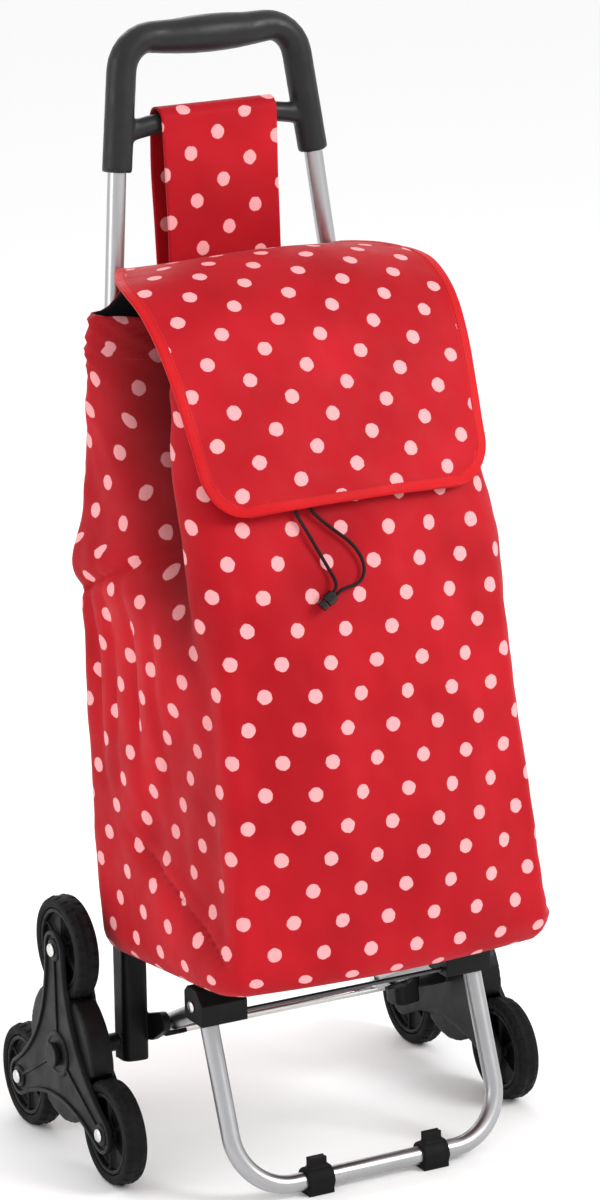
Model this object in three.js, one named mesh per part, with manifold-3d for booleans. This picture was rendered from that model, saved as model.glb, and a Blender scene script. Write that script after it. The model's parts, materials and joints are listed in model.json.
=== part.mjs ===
// A stair-climbing shopping trolley: a leaning tube frame with a moulded handle, a soft bag with a flap,
// a fold-down platform with a U-shaped front leg, and two three-wheel clusters on one axle.
//
// Units are millimetres. +Z is up and the front faces -Y. Left, which is -X, and right are as seen from the
// front. Inside this file, Y and Z are measured from the axle; the last lines stand the trolley on the ground.
import * as THREE from "three";
import { mergeVertices } from "three/addons/utils/BufferGeometryUtils.js";
import Module from "manifold-3d";

const wasm = await Module();
wasm.setup();

// ---------------------------------------------------------------- driving sizes
const GAP = 0.35; // clearance between fixed neighbours
const SIDES = [
  ["left", -1],
  ["right", 1],
];

// Tubes
const TUBE_R = 8;
const TUBE_WALL = 1.2;
const TUBE_SIDES = 16;

// Wheel clusters
const WHEEL_R = 46;
const TYRE_WIDTH = 20;
const TYRE_DEPTH = 9.7;
const TYRE_SHOULDER = 2.4;
const STAR_R = 95; // axle to wheel centre
const WHEEL_TO_BAG = 23; // wheel mid-plane to the bag's widest side
const PLATE_T = 4.5;
const PLATE_TO_WHEEL = 0.5;
const STAR_ARM_R = 17; // rounded end of a star arm
const STAR_CROTCH_R = 22; // control radius of the hollow between two arms
const STAR_CORE_R = 62; // core between the plates, cut back round the wheels
const STAR_HUB_R = 20;
const WHEEL_CLEARANCE = 3;
const AXLE_R = 4;
const AXLE_COLLAR_R = 8;
const AXLE_CAP_R = 11;
const PIN_R = 3;
const RUNNING = 0.3; // radial clearance of what turns
const HUB_R = 9;
const RIM_RING = 4; // radial thickness of the rim under the tyre
const RIM_WEB = 6;

// Uprights: straight from the axle to a knee behind the bag, then a little more inclined up to the handle
const LEAN = 0.0743; // Y run per unit of height, backwards
const KNEE_X = 106.5;
const KNEE_BELOW_BAG_TOP = 42;
const HANDLE_END_X = 94;
const HANDLE_ABOVE_BAG = 83; // the moulded handle's lower ends above the bag's top
const SOCKET_DEPTH = 45;

// Lower brackets, measured from the axle
const BRACKET_WALL = { x: 4, y: 5 }; // round the tube
const BRACKET_CORNER = 6;
const BRACKET_BOTTOM_Z = -17.5;
const BRACKET_TOP_Z = 141.5;
const TUBE_SEAT_Z = 14.5;
const LUG_TO_ARM = 1;
const LUG_WIDTH = 6;
const LUG_REACH = 24;
const LUG_ROOT_R = 12;
const LUG_TIP_R = 9;
const SHELF_T = 4;

// Platform
const ARM_X = 108;
const ARM_PIVOT = { y: -13, z: 12.5 };
const ARM_END = 8; // tube past a pivot
const PIVOT_BOLT_R = 3;
const BOLT_HEAD_R = 6;
const JOINT = { y: -132, z: 71.5 };
const ROD_R = 2;
const ROD_OFFSET = { y: -8, z: -9 }; // cross rod from the front joint
const CAP_WALL = { inner: 3, outer: 4.5, front: 10, back: 7, bottom: 6, top: 8.5 }; // round the tubes

// Leg
const LEG_TO_ARM = 4; // gap between the leg's tube and the arm's
const LEG_BAR_Y = -190;
const LEG_BEND_R = 50;
const LEG_FOLD_DEG = 66;
const RIVET_R = 2.5;
const RIVET_HEAD_R = 5;
const FOOT_FROM_BEND = 10;
const FOOT_WIDTH = 24;
const FOOT_WALL = 4;
const FOOT_BASE_HALF = 10;
const FOOT_EAR = 8;
const FOOT_SPLIT_HALF = 0.7;
const FOOT_SOLE = 4; // rubber under the tube

// Handle
const GRIP_R = 13;
const GRIP_SWELL_R = 16.5;
const GRIP_SWELL_HALF = 58;
const GRIP_RISE = 111; // the grip's middle above the handle's lower ends
const GRIP_SHOULDER_IN = 13.5; // the shoulders are this much closer together than the lower ends
const GRIP_BEND_R = 30;
const HANDLE_BAR_ABOVE_END = 31;
const HANDLE_BAR_RISE = 10;
const HANDLE_BAR_HALF = { y: 9, z: 8 };

// Bag. Each level gives its height at the back and front, its inset from the widest at the back and front, and
// the front's Y. The lower levels are measured up from the floor's seam, and their Y from the axle. The upper
// ones are measured down from the top, and their Y from the uprights there.
const BAG_HALF = 170;
const BAG_FLOOR_Z = 109.5;
const BAG_TOP_Z = 668.5;
const CLOTH = 2.5;
const BAG_TO_UPRIGHT = 6;
const BAG_CROWN = 12;
const BAG_FRONT_CORNER = 30;
const BAG_BACK_CORNER = 12;
const BAG_BASE_DROP = 26;
const BAG_SEAM = 0.4;
const LOWER_LEVELS = [
  { back: 0, front: 21, wide: 4, narrow: 5, y: -250 },
  { back: 97, front: 107, wide: 0, narrow: 10, y: -244 },
  { back: 197, front: 202, wide: 1, narrow: 19, y: -230 },
  { back: 297, front: 297, wide: 5, narrow: 25, y: -210 },
];
const UPPER_LEVELS = [
  { back: 182, front: 182, wide: 11, narrow: 32, y: -235.7 },
  { back: 122, front: 122, wide: 18, narrow: 39, y: -209.7 },
  { back: 67, front: 67, wide: 26, narrow: 48, y: -175.7 },
  { back: 26, front: 44, wide: 31, narrow: 55, y: -157.7 },
  { back: 2, front: 30, wide: 54, narrow: 58, y: -147.7 },
];
const BOARD_T = 3;
const BOARD_MARGIN = 34;

// Flap: its outer surface runs from the hinge over the top and down the front, through points given as
// [Y from the uprights at the bag's top, height above the bag's top]
const FLAP_T = 3;
// how far the flap's sides are in from the bag's widest: at the hinge, at the flap's widest and at its end
const FLAP_HINGE_IN = 62;
const FLAP_WIDEST_IN = 25;
const FLAP_END_IN = 37;
const FLAP_WIDEST_AT = 110; // along the flap from the hinge
const FLAP_CORNER = 40;
const FLAP_CROWN = 11;
const FLAP_CROWN_FROM = 60; // along the flap, where the crown is full
const FLAP_PROFILE = [
  [-13.7, 6],
  [-29.7, 11],
  [-54.7, 17],
  [-81.7, 20],
  [-111.7, 16],
  [-141.7, 2],
  [-166.7, -21],
  [-188.7, -53],
  [-206.7, -88],
  [-222.7, -121],
  [-233.7, -145],
  [-240.7, -162],
];

// Hanging strap over the handle's crossbar: its two runs, as the flap's points are given
const STRAP_HALF = 55;
const STRAP_T = 2.4;
const STRAP_ROOM = 1.2;
const STRAP_FRONT_RUN = [
  [-8.7, -20],
  [-7.2, 28],
];
const STRAP_BACK_RUN = [
  [22.3, 28],
  [16.3, -20],
  [2.3, -72],
];
const TIE_Z = 206.5;
const TIE_HEIGHT = 24;
const TIE_T = 1.8;
const TIE_TAB_HALF = 7;
const BRACE_Z = 326.5;
const BRACE_R = 6;

// Drawcord: two strands from eyelets under the flap down to a spring lock, as [X, Y, Z]
const CORD_R = 1.5;
const CORD_SIDES = 8;
const CORD_STEPS = 24;
const EYELET_R = 2.2;
const CORD_LEFT = [
  [-62, -157.5, 538.5],
  [-62, -162, 538.5],
  [-62, -166, 537.5],
  [-61.8, -169.4, 534.5],
  [-61.5, -171.8, 530.5],
  [-61, -173.4, 525],
  [-60, -175.2, 517.5],
  [-58, -178, 508.5],
  [-54.3, -182, 496.5],
  [-48.5, -187.2, 483.5],
  [-42.8, -191.6, 470.5],
  [-38, -195.4, 459.5],
  [-34.8, -198.4, 452],
  [-32.8, -201.4, 446.5],
  [-32.4, -204, 442.5],
  [-33.8, -206.4, 439.3],
  [-36.2, -208, 437.2],
  [-39, -208.3, 435.2],
  [-42, -208.3, 433],
];
const CORD_RIGHT = [
  [-46, -159, 538.5],
  [-46, -163.5, 538.5],
  [-46, -167.5, 537.5],
  [-46, -171, 534.5],
  [-46, -173.2, 530],
  [-46, -175, 523.5],
  [-45.7, -177, 515.5],
  [-44.3, -180, 506.5],
  [-39.5, -183.2, 497.5],
  [-31, -187, 488.5],
  [-22.5, -190, 481],
  [-14.5, -192.4, 474],
  [-8, -195, 466],
  [-4, -197.5, 457.5],
  [-3.4, -200, 449],
  [-7.4, -202.5, 441.9],
  [-14.5, -204.2, 438.5],
  [-22.5, -205.8, 437.8],
  [-29.5, -207.6, 436.7],
  [-35.3, -208.3, 432.9],
  [-39.4, -208.3, 429.7],
];
const LOCK = { x: -41.5, y: -208.3, z: 430.7 };
const LOCK_AXIS = { x: -0.79, z: -0.613 }; // from the cords' side to the plunger
const LOCK_R = 5.5;
const LOCK_BARREL = [-6, 3];
const LOCK_STEM_R = 2.6;
const LOCK_STEM_END = 6.2;
const PLUNGER_R = 4.6;
const PLUNGER_SPAN = [4.6, 9];
const PLUNGER_FLOOR = 7.8;

// ---------------------------------------------------------------- derived sizes
const TUBE_BORE_R = TUBE_R - TUBE_WALL;
const GROUND_Z = -WHEEL_R - STAR_R / 2;
const TRACK_HALF = BAG_HALF + WHEEL_TO_BAG; // trolley centre to wheel mid-plane
const WHEEL_HALF = TYRE_WIDTH / 2;
const PLATE_INNER = WHEEL_HALF + PLATE_TO_WHEEL; // wheel mid-plane to the plate's near face
const PLATE_OUTER = PLATE_INNER + PLATE_T;
const KNEE_Z = BAG_TOP_Z - KNEE_BELOW_BAG_TOP;
const HANDLE_END_Z = BAG_TOP_Z + HANDLE_ABOVE_BAG;
const GRIP_TOP_Z = HANDLE_END_Z + GRIP_RISE;
const HANDLE_BAR_END_Z = HANDLE_END_Z + HANDLE_BAR_ABOVE_END;
const BRACKET_WIDTH = 2 * (TUBE_R + BRACKET_WALL.x);
const BRACKET_DEPTH = 2 * (TUBE_R + BRACKET_WALL.y);
const LUG_INNER_X = ARM_X + TUBE_R + LUG_TO_ARM;
const FOOT_X = LUG_INNER_X + LUG_WIDTH + BRACKET_WIDTH / 2;
const LEG_X = ARM_X + 2 * TUBE_R + LEG_TO_ARM;
const FOOT_SPACING_HALF = LEG_X - LEG_BEND_R - FOOT_FROM_BEND - FOOT_WIDTH / 2;
const LEG_BAR_Z = GROUND_Z + TUBE_R + FOOT_SOLE;
const ARM_SLOPE = Math.atan2(JOINT.z - ARM_PIVOT.z, ARM_PIVOT.y - JOINT.y);
const LEG_ANGLE = Math.atan2(JOINT.z - LEG_BAR_Z, JOINT.y - LEG_BAR_Y); // below the horizontal, forwards
const CAP = {
  inner: ARM_X - TUBE_R - CAP_WALL.inner,
  outer: LEG_X + TUBE_R + CAP_WALL.outer,
  front: JOINT.y - TUBE_R - CAP_WALL.front,
  back: JOINT.y + TUBE_R + CAP_WALL.back,
  bottom: JOINT.z - TUBE_R - CAP_WALL.bottom,
  top: JOINT.z + TUBE_R + CAP_WALL.top,
};
const TOP_Y = LEAN * BAG_TOP_Z; // of the uprights at the bag's top
const bagLevel = (level, sign, from, fromY) => ({
  back: from + sign * level.back,
  front: from + sign * level.front,
  wide: BAG_HALF - level.wide,
  narrow: BAG_HALF - level.narrow,
  y: fromY + level.y,
});
const BAG_LEVELS = [
  ...LOWER_LEVELS.map((level) => bagLevel(level, 1, BAG_FLOOR_Z, 0)),
  ...UPPER_LEVELS.map((level) => bagLevel(level, -1, BAG_TOP_Z, TOP_Y)),
];

// ---------------------------------------------------------------- geometry helpers
const vec = (x, y, z) => new THREE.Vector3(x, y, z);

function solidOf(geometry) {
  const bare = geometry.clone();
  bare.deleteAttribute("normal");
  bare.deleteAttribute("uv");
  const merged = mergeVertices(bare, 1e-4);
  return new wasm.Manifold(
    new wasm.Mesh({
      numProp: 3,
      vertProperties: merged.attributes.position.array,
      triVerts: new Uint32Array(merged.index.array),
    }),
  );
}

function geometryOf(solid) {
  const mesh = solid.getMesh();
  const geometry = new THREE.BufferGeometry();
  geometry.setAttribute("position", new THREE.BufferAttribute(mesh.vertProperties, 3));
  geometry.setIndex(new THREE.BufferAttribute(mesh.triVerts, 1));
  return geometry;
}

const join = (...parts) => geometryOf(parts.map(solidOf).reduce((a, b) => a.add(b)));

const cut = (part, ...tools) =>
  geometryOf(tools.map(solidOf).reduce((a, b) => a.subtract(b), solidOf(part)));

const overlapOf = (a, b) => geometryOf(solidOf(a).intersect(solidOf(b)));

// A round bar from one point to another.
function bar(from, to, radius, sides = TUBE_SIDES) {
  const axis = to.clone().sub(from);
  const geometry = new THREE.CylinderGeometry(radius, radius, axis.length(), sides);
  geometry.applyQuaternion(
    new THREE.Quaternion().setFromUnitVectors(vec(0, 1, 0), axis.clone().normalize()),
  );
  const middle = from.clone().add(to).multiplyScalar(0.5);
  return geometry.translate(middle.x, middle.y, middle.z);
}

const barX = (x0, x1, y, z, radius, sides = TUBE_SIDES) =>
  bar(vec(x0, y, z), vec(x1, y, z), radius, sides);

function block(x0, x1, y0, y1, z0, z1) {
  const geometry = new THREE.BoxGeometry(Math.abs(x1 - x0), Math.abs(y1 - y0), Math.abs(z1 - z0));
  return geometry.translate((x0 + x1) / 2, (y0 + y1) / 2, (z0 + z1) / 2);
}

// A flat shape given as [Y, Z] points or a THREE.Shape, extruded along X from x0 to x1.
function plateX(outline, x0, x1, curveSegments = 6) {
  const shape = outline instanceof THREE.Shape
    ? outline
    : new THREE.Shape(outline.map(([y, z]) => new THREE.Vector2(y, z)));
  const geometry = new THREE.ExtrudeGeometry(shape, {
    depth: Math.abs(x1 - x0),
    bevelEnabled: false,
    curveSegments,
  });
  // shape X becomes Y, shape Y becomes Z and the depth becomes X
  const turn = new THREE.Matrix4().makeBasis(vec(0, 1, 0), vec(0, 0, 1), vec(1, 0, 0));
  return geometry.applyMatrix4(turn).translate(Math.min(x0, x1), 0, 0);
}

// A ring or wheel turned about the X axis through (x, y, z), from a closed profile of [radius, X] points.
function turned(profile, segments, x, y, z) {
  const points = [...profile, profile[0]].map(([r, along]) => new THREE.Vector2(r, along));
  const geometry = new THREE.LatheGeometry(points, segments);
  return geometry.rotateZ(-Math.PI / 2).translate(x, y, z);
}

// A route whose stations keep their own spacing, so that straight lengths need few of them.
class Route extends THREE.Curve {
  constructor(stations) {
    super();
    this.stations = stations;
  }

  getPoint(t) {
    const place = t * (this.stations.length - 1);
    const i = Math.min(Math.floor(place + 1e-9), this.stations.length - 2);
    return this.stations[i].clone().lerp(this.stations[i + 1], place - i);
  }

  getPointAt(u) {
    return this.getPoint(u);
  }

  getTangentAt(u) {
    const i = Math.round(u * (this.stations.length - 1));
    const before = this.stations[Math.max(i - 1, 0)];
    const here = this.stations[i];
    const after = this.stations[Math.min(i + 1, this.stations.length - 1)];
    const a = here.clone().sub(before).normalize();
    const b = after.clone().sub(here).normalize();
    return a.add(b).normalize();
  }
}

// Points of a route through corners, each corner rounded to a radius.
function rounded(corners, radius, stepsPerBend) {
  const points = [corners[0]];
  for (let i = 1; i < corners.length - 1; i++) {
    const toBefore = corners[i - 1].clone().sub(corners[i]).normalize();
    const toAfter = corners[i + 1].clone().sub(corners[i]).normalize();
    const half = toBefore.angleTo(toAfter) / 2;
    const reach = radius / Math.tan(half);
    const bisector = toBefore.clone().add(toAfter).normalize();
    const centre = corners[i].clone().addScaledVector(bisector, radius / Math.sin(half));
    const start = corners[i].clone().addScaledVector(toBefore, reach).sub(centre);
    const end = corners[i].clone().addScaledVector(toAfter, reach).sub(centre);
    const sweep = start.angleTo(end);
    for (let k = 0; k <= stepsPerBend; k++) {
      const t = k / stepsPerBend;
      const offset = start.clone().multiplyScalar(Math.sin((1 - t) * sweep))
        .addScaledVector(end, Math.sin(t * sweep))
        .divideScalar(Math.sin(sweep));
      points.push(centre.clone().add(offset));
    }
  }
  points.push(corners.at(-1));
  return points;
}

function ovalShape(halfX, halfY, sides) {
  const points = [];
  for (let i = 0; i < sides; i++) {
    const a = (2 * Math.PI * i) / sides;
    points.push(new THREE.Vector2(halfX * Math.cos(a), halfY * Math.sin(a)));
  }
  return new THREE.Shape(points);
}

function alongRoute(shape, stations) {
  return new THREE.ExtrudeGeometry(shape, {
    steps: stations.length - 1,
    extrudePath: new Route(stations),
    curveSegments: 1,
  });
}

// A hollow tube along a route.
function tube(stations, radius = TUBE_R, bore = TUBE_BORE_R, sides = TUBE_SIDES) {
  const shape = ovalShape(radius, radius, sides);
  shape.holes.push(new THREE.Path(ovalShape(bore, bore, sides).getPoints().reverse()));
  return alongRoute(shape, stations);
}

// A thin solid between two grids of points, outer[j][i] and inner[j][i], closed round its edge.
function sheetSolid(outer, inner) {
  const rows = outer.length;
  const columns = outer[0].length;
  const positions = [...outer.flat(), ...inner.flat()].flatMap((p) => [p.x, p.y, p.z]);
  const at = (side, j, i) => side * rows * columns + j * columns + i;
  const index = [];
  const quad = (a, b, c, d) => index.push(a, b, c, a, c, d);
  for (let j = 0; j < rows - 1; j++) {
    for (let i = 0; i < columns - 1; i++) {
      quad(at(0, j, i), at(0, j, i + 1), at(0, j + 1, i + 1), at(0, j + 1, i));
      quad(at(1, j, i), at(1, j + 1, i), at(1, j + 1, i + 1), at(1, j, i + 1));
    }
    quad(at(0, j, 0), at(0, j + 1, 0), at(1, j + 1, 0), at(1, j, 0));
    const last = columns - 1;
    quad(at(0, j, last), at(1, j, last), at(1, j + 1, last), at(0, j + 1, last));
  }
  for (let i = 0; i < columns - 1; i++) {
    const last = rows - 1;
    quad(at(0, 0, i), at(1, 0, i), at(1, 0, i + 1), at(0, 0, i + 1));
    quad(at(0, last, i), at(0, last, i + 1), at(1, last, i + 1), at(1, last, i));
  }
  const geometry = new THREE.BufferGeometry();
  geometry.setAttribute("position", new THREE.Float32BufferAttribute(positions, 3));
  geometry.setIndex(index);
  return outwards(geometry);
}

// The same closed mesh with its faces turned to point out.
function outwards(geometry) {
  const p = geometry.attributes.position;
  const index = geometry.index.array;
  let volume = 0;
  const [a, b, c] = [vec(), vec(), vec()];
  for (let i = 0; i < index.length; i += 3) {
    a.fromBufferAttribute(p, index[i]);
    b.fromBufferAttribute(p, index[i + 1]);
    c.fromBufferAttribute(p, index[i + 2]);
    volume += a.dot(b.cross(c));
  }
  if (volume < 0) {
    for (let i = 0; i < index.length; i += 3) {
      [index[i + 1], index[i + 2]] = [index[i + 2], index[i + 1]];
    }
  }
  return geometry;
}

// ---------------------------------------------------------------- materials
const material = (color, roughness, metalness) =>
  new THREE.MeshStandardMaterial({ color, roughness, metalness });
const steel = material(0xa8a8aa, 0.35, 0.9);
const zinc = material(0xc8c8c4, 0.3, 1);
const darkSteel = material(0x3a3a3e, 0.45, 0.8);
const plastic = material(0x202021, 0.55, 0);
const gripPlastic = material(0x262626, 0.6, 0);
const rimPlastic = material(0x1a1a1b, 0.6, 0);
const rubber = material(0x17181a, 0.85, 0);
const cloth = material(0xc32430, 0.8, 0);
const lining = material(0x161414, 0.9, 0);
const cordBlack = material(0x141212, 0.9, 0);

const trolley = new THREE.Group();

function add(name, geometry, finish) {
  const mesh = new THREE.Mesh(geometry, finish);
  mesh.name = name;
  trolley.add(mesh);
}

// ---------------------------------------------------------------- frame
const leanY = (z) => LEAN * z;
const LOWER_SPLAY = (FOOT_X - KNEE_X) / KNEE_Z;
const UPPER_SPLAY = (KNEE_X - HANDLE_END_X) / (HANDLE_END_Z - KNEE_Z);

// The centre line of an upright at a height.
function uprightAt(side, z) {
  const x = z < KNEE_Z
    ? KNEE_X + LOWER_SPLAY * (KNEE_Z - z)
    : KNEE_X - UPPER_SPLAY * (z - KNEE_Z);
  return vec(side * x, leanY(z), z);
}

function upright(side) {
  const top = uprightAt(side, HANDLE_END_Z + SOCKET_DEPTH - 2);
  return tube(rounded([uprightAt(side, TUBE_SEAT_Z + GAP), uprightAt(side, KNEE_Z), top], 150, 3));
}

function roundedRectangle(width, depth, corner) {
  const [w, d, c] = [width / 2, depth / 2, corner];
  const shape = new THREE.Shape();
  shape.moveTo(w, -d + c);
  shape.lineTo(w, d - c).absarc(w - c, d - c, c, 0, Math.PI / 2);
  shape.lineTo(-w + c, d).absarc(-w + c, d - c, c, Math.PI / 2, Math.PI);
  shape.lineTo(-w, -d + c).absarc(-w + c, -d + c, c, Math.PI, 1.5 * Math.PI);
  shape.lineTo(w - c, -d).absarc(w - c, -d + c, c, 1.5 * Math.PI, 2 * Math.PI);
  return shape;
}

// A point ahead of the arm's pivot along the arm, and above it across the arm.
const onArm = (along, across = 0) => [
  ARM_PIVOT.y - along * Math.cos(ARM_SLOPE) + across * Math.sin(ARM_SLOPE),
  ARM_PIVOT.z + along * Math.sin(ARM_SLOPE) + across * Math.cos(ARM_SLOPE),
];

// The lower end of an upright: a sleeve on the tube, a bearing for the axle and a lug for the platform arm.
function bracket(side) {
  const foot = uprightAt(side, BRACKET_BOTTOM_Z);
  const head = uprightAt(side, BRACKET_TOP_Z);
  const shape = roundedRectangle(BRACKET_WIDTH, BRACKET_DEPTH, BRACKET_CORNER);
  const sleeve = new THREE.ExtrudeGeometry(shape, {
    depth: foot.distanceTo(head),
    bevelEnabled: false,
    curveSegments: 3,
  });
  sleeve.applyQuaternion(
    new THREE.Quaternion().setFromUnitVectors(vec(0, 0, 1), head.clone().sub(foot).normalize()),
  );
  sleeve.translate(foot.x, foot.y, foot.z);
  const intoSleeve = 2;
  const lugOuter = uprightAt(1, ARM_PIVOT.z).x - BRACKET_WIDTH / 2 + intoSleeve;
  const [lugX0, lugX1] = [side * LUG_INNER_X, side * lugOuter];
  const lug = join(
    barX(lugX0, lugX1, ARM_PIVOT.y, ARM_PIVOT.z, LUG_ROOT_R),
    barX(lugX0, lugX1, ...onArm(LUG_REACH), LUG_TIP_R),
    plateX(
      [
        onArm(0, LUG_ROOT_R),
        onArm(LUG_REACH, LUG_TIP_R),
        onArm(LUG_REACH, -LUG_TIP_R),
        onArm(0, -LUG_ROOT_R),
      ],
      lugX0,
      lugX1,
    ),
  );
  // a shelf under the arm, on which it rests when it is folded down
  const shelfTop = -TUBE_R - GAP;
  const shelfFrom = LUG_REACH - TUBE_R;
  const shelf = plateX(
    [
      onArm(shelfFrom, shelfTop),
      onArm(LUG_REACH, shelfTop),
      onArm(LUG_REACH, shelfTop - SHELF_T),
      onArm(shelfFrom, shelfTop - SHELF_T),
    ],
    side * (ARM_X - TUBE_R),
    side * (LUG_INNER_X + intoSleeve),
  );
  const boltBore = PIVOT_BOLT_R + RUNNING;
  const past = 5; // how far a cutting bar runs past a face
  return cut(
    join(sleeve, lug, shelf),
    bar(uprightAt(side, TUBE_SEAT_Z), uprightAt(side, BRACKET_TOP_Z + past), TUBE_R + GAP),
    barX(side * (FOOT_X - BRACKET_WIDTH), side * (FOOT_X + BRACKET_WIDTH), 0, 0, AXLE_R + RUNNING),
    barX(side * (LUG_INNER_X - past), side * (lugOuter - 1), ARM_PIVOT.y, ARM_PIVOT.z, boltBore),
  );
}

// The bolt a platform arm turns on, with its domed head towards the middle of the trolley.
function pivotBolt(side) {
  const headX = ARM_X - TUBE_R - 0.5;
  return join(
    barX(side * headX, side * (LUG_INNER_X + 5), ARM_PIVOT.y, ARM_PIVOT.z, PIVOT_BOLT_R, 12),
    barX(side * (headX - 3), side * headX, ARM_PIVOT.y, ARM_PIVOT.z, BOLT_HEAD_R, 12),
  );
}

for (const [name, side] of SIDES) {
  add(`upright_${name}`, upright(side), steel);
  add(`bracket_${name}`, bracket(side), plastic);
  add(`pivot_bolt_${name}`, pivotBolt(side), zinc);
}

const AXLE_END = TRACK_HALF + PLATE_OUTER + 2;
add("axle", barX(-AXLE_END, AXLE_END, 0, 0, AXLE_R), zinc);

for (const [name, side] of SIDES) {
  const from = side * (FOOT_X + BRACKET_WIDTH / 2 + 1.5);
  const to = side * (TRACK_HALF - PLATE_OUTER - 1);
  add(`axle_spacer_${name}`,
    cut(barX(from, to, 0, 0, AXLE_COLLAR_R), barX(from - side, to + side, 0, 0, AXLE_R + GAP)), plastic);
  const cap = side * (TRACK_HALF + PLATE_OUTER + 0.6);
  const capEnd = cap + side * 5;
  add(`axle_cap_${name}`,
    cut(barX(cap, capEnd, 0, 0, AXLE_CAP_R), barX(cap - side, side * (AXLE_END + GAP), 0, 0, AXLE_R + GAP)),
    plastic);
}

const braceHalf = uprightAt(1, BRACE_Z).x - TUBE_R - GAP;
add("cross_brace",
  tube([vec(-braceHalf, leanY(BRACE_Z), BRACE_Z), vec(braceHalf, leanY(BRACE_Z), BRACE_Z)], BRACE_R,
    BRACE_R - TUBE_WALL, 12),
  steel);

// ---------------------------------------------------------------- handle
// A moulded D: two arms over the tube ends, a swollen grip across the top and a bar for the bag's strap.
function handleGrip() {
  const corner = (side) => vec(side * (HANDLE_END_X - GRIP_SHOULDER_IN), leanY(GRIP_TOP_Z), GRIP_TOP_Z);
  const hoop = alongRoute(
    ovalShape(GRIP_R, GRIP_R, 16),
    rounded([uprightAt(-1, HANDLE_END_Z), corner(-1), corner(1), uprightAt(1, HANDLE_END_Z)], GRIP_BEND_R, 6),
  );
  const swell = [];
  const swellSteps = 8;
  for (let i = 0; i <= swellSteps; i++) {
    const t = i / swellSteps;
    const radius = GRIP_R - 1 + (GRIP_SWELL_R - GRIP_R + 1) * Math.sin(Math.PI * t);
    swell.push([radius, GRIP_SWELL_HALF * (2 * t - 1)]);
  }
  const grip = turned([[0, -GRIP_SWELL_HALF], ...swell, [0, GRIP_SWELL_HALF]], 20,
    0, leanY(GRIP_TOP_Z), GRIP_TOP_Z - 2);
  const barRoute = [];
  const barSteps = 8;
  for (let i = 0; i <= barSteps; i++) {
    const t = (2 * i) / barSteps - 1;
    const z = HANDLE_BAR_END_Z + HANDLE_BAR_RISE * (1 - t * t);
    barRoute.push(vec(t * uprightAt(1, HANDLE_BAR_END_Z).x, leanY(HANDLE_BAR_END_Z), z));
  }
  const crossbar = alongRoute(ovalShape(HANDLE_BAR_HALF.z, HANDLE_BAR_HALF.y, 14), barRoute);
  const sockets = SIDES.map(([, side]) =>
    bar(uprightAt(side, HANDLE_END_Z - 5), uprightAt(side, HANDLE_END_Z + SOCKET_DEPTH), TUBE_R + GAP));
  return cut(join(hoop, grip, crossbar), ...sockets);
}

add("handle_grip", handleGrip(), gripPlastic);

// ---------------------------------------------------------------- wheel clusters
// A three-armed plate in the Y-Z plane round the origin, one arm upright, hollowed between its arms.
function starShape(armR, crotchR) {
  const shape = new THREE.Shape();
  for (let k = 0; k < 3; k++) {
    const a = Math.PI / 2 + (k * 2 * Math.PI) / 3;
    const [cx, cy] = [STAR_R * Math.cos(a), STAR_R * Math.sin(a)];
    const start = [cx + armR * Math.sin(a), cy - armR * Math.cos(a)];
    const mid = a - Math.PI / 3;
    if (k === 0) {
      shape.moveTo(...start);
    } else {
      shape.quadraticCurveTo(crotchR * Math.cos(mid), crotchR * Math.sin(mid), ...start);
    }
    shape.absarc(cx, cy, armR, a - Math.PI / 2, a + Math.PI / 2);
  }
  const closing = Math.PI / 2 - Math.PI / 3;
  shape.quadraticCurveTo(crotchR * Math.cos(closing), crotchR * Math.sin(closing), armR, STAR_R);
  return shape;
}

const wheelCentres = [90, 210, 330].map((deg) => {
  const a = THREE.MathUtils.degToRad(deg);
  return { y: -STAR_R * Math.cos(a), z: STAR_R * Math.sin(a) };
});

function starPlate(x0, x1) {
  const plate = plateX(starShape(STAR_ARM_R, STAR_CROTCH_R), x0, x1);
  const pinHoles = wheelCentres.map((c) => barX(x0 - 1, x1 + 1, c.y, c.z, PIN_R + GAP, 12));
  return cut(plate, barX(x0 - 1, x1 + 1, 0, 0, AXLE_R + RUNNING), ...pinHoles);
}

// The inner moulding: the inner plate with the core that spaces the two plates.
function starInner(side) {
  const plateNear = TRACK_HALF - PLATE_INNER;
  const plateFar = TRACK_HALF - PLATE_OUTER;
  const coreEnd = TRACK_HALF + PLATE_INNER - GAP;
  const [x0, x1] = [side * plateFar, side * plateNear].sort((a, b) => a - b);
  const [c0, c1] = [side * plateNear - side, side * coreEnd].sort((a, b) => a - b);
  const disc = barX(c0, c1, 0, 0, STAR_CORE_R, 36);
  const wheelRoom = wheelCentres.map((c) => barX(c0 - 2, c1 + 2, c.y, c.z, WHEEL_R + WHEEL_CLEARANCE, 36));
  const core = cut(disc, ...wheelRoom, barX(c0 - 2, c1 + 2, 0, 0, AXLE_R + RUNNING));
  return join(starPlate(x0, x1), core);
}

function starOuter(side) {
  const faces = [TRACK_HALF + PLATE_INNER, TRACK_HALF + PLATE_OUTER].map((x) => side * x);
  const [x0, x1] = faces.sort((a, b) => a - b);
  const hubRing = cut(barX(x0, x1, 0, 0, STAR_HUB_R), barX(x0 - 1, x1 + 1, 0, 0, AXLE_R + RUNNING));
  return join(starPlate(x0, x1), hubRing);
}

function wheelPin(side, centre) {
  const head = TRACK_HALF + PLATE_OUTER + 0.3;
  const tail = TRACK_HALF - PLATE_OUTER - 0.3;
  return join(
    barX(side * (tail - 1), side * (head + 1), centre.y, centre.z, PIN_R, 12),
    barX(side * head, side * (head + 3), centre.y, centre.z, 6, 12),
    barX(side * (tail - 4), side * tail, centre.y, centre.z, 5, 12),
  );
}

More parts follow.
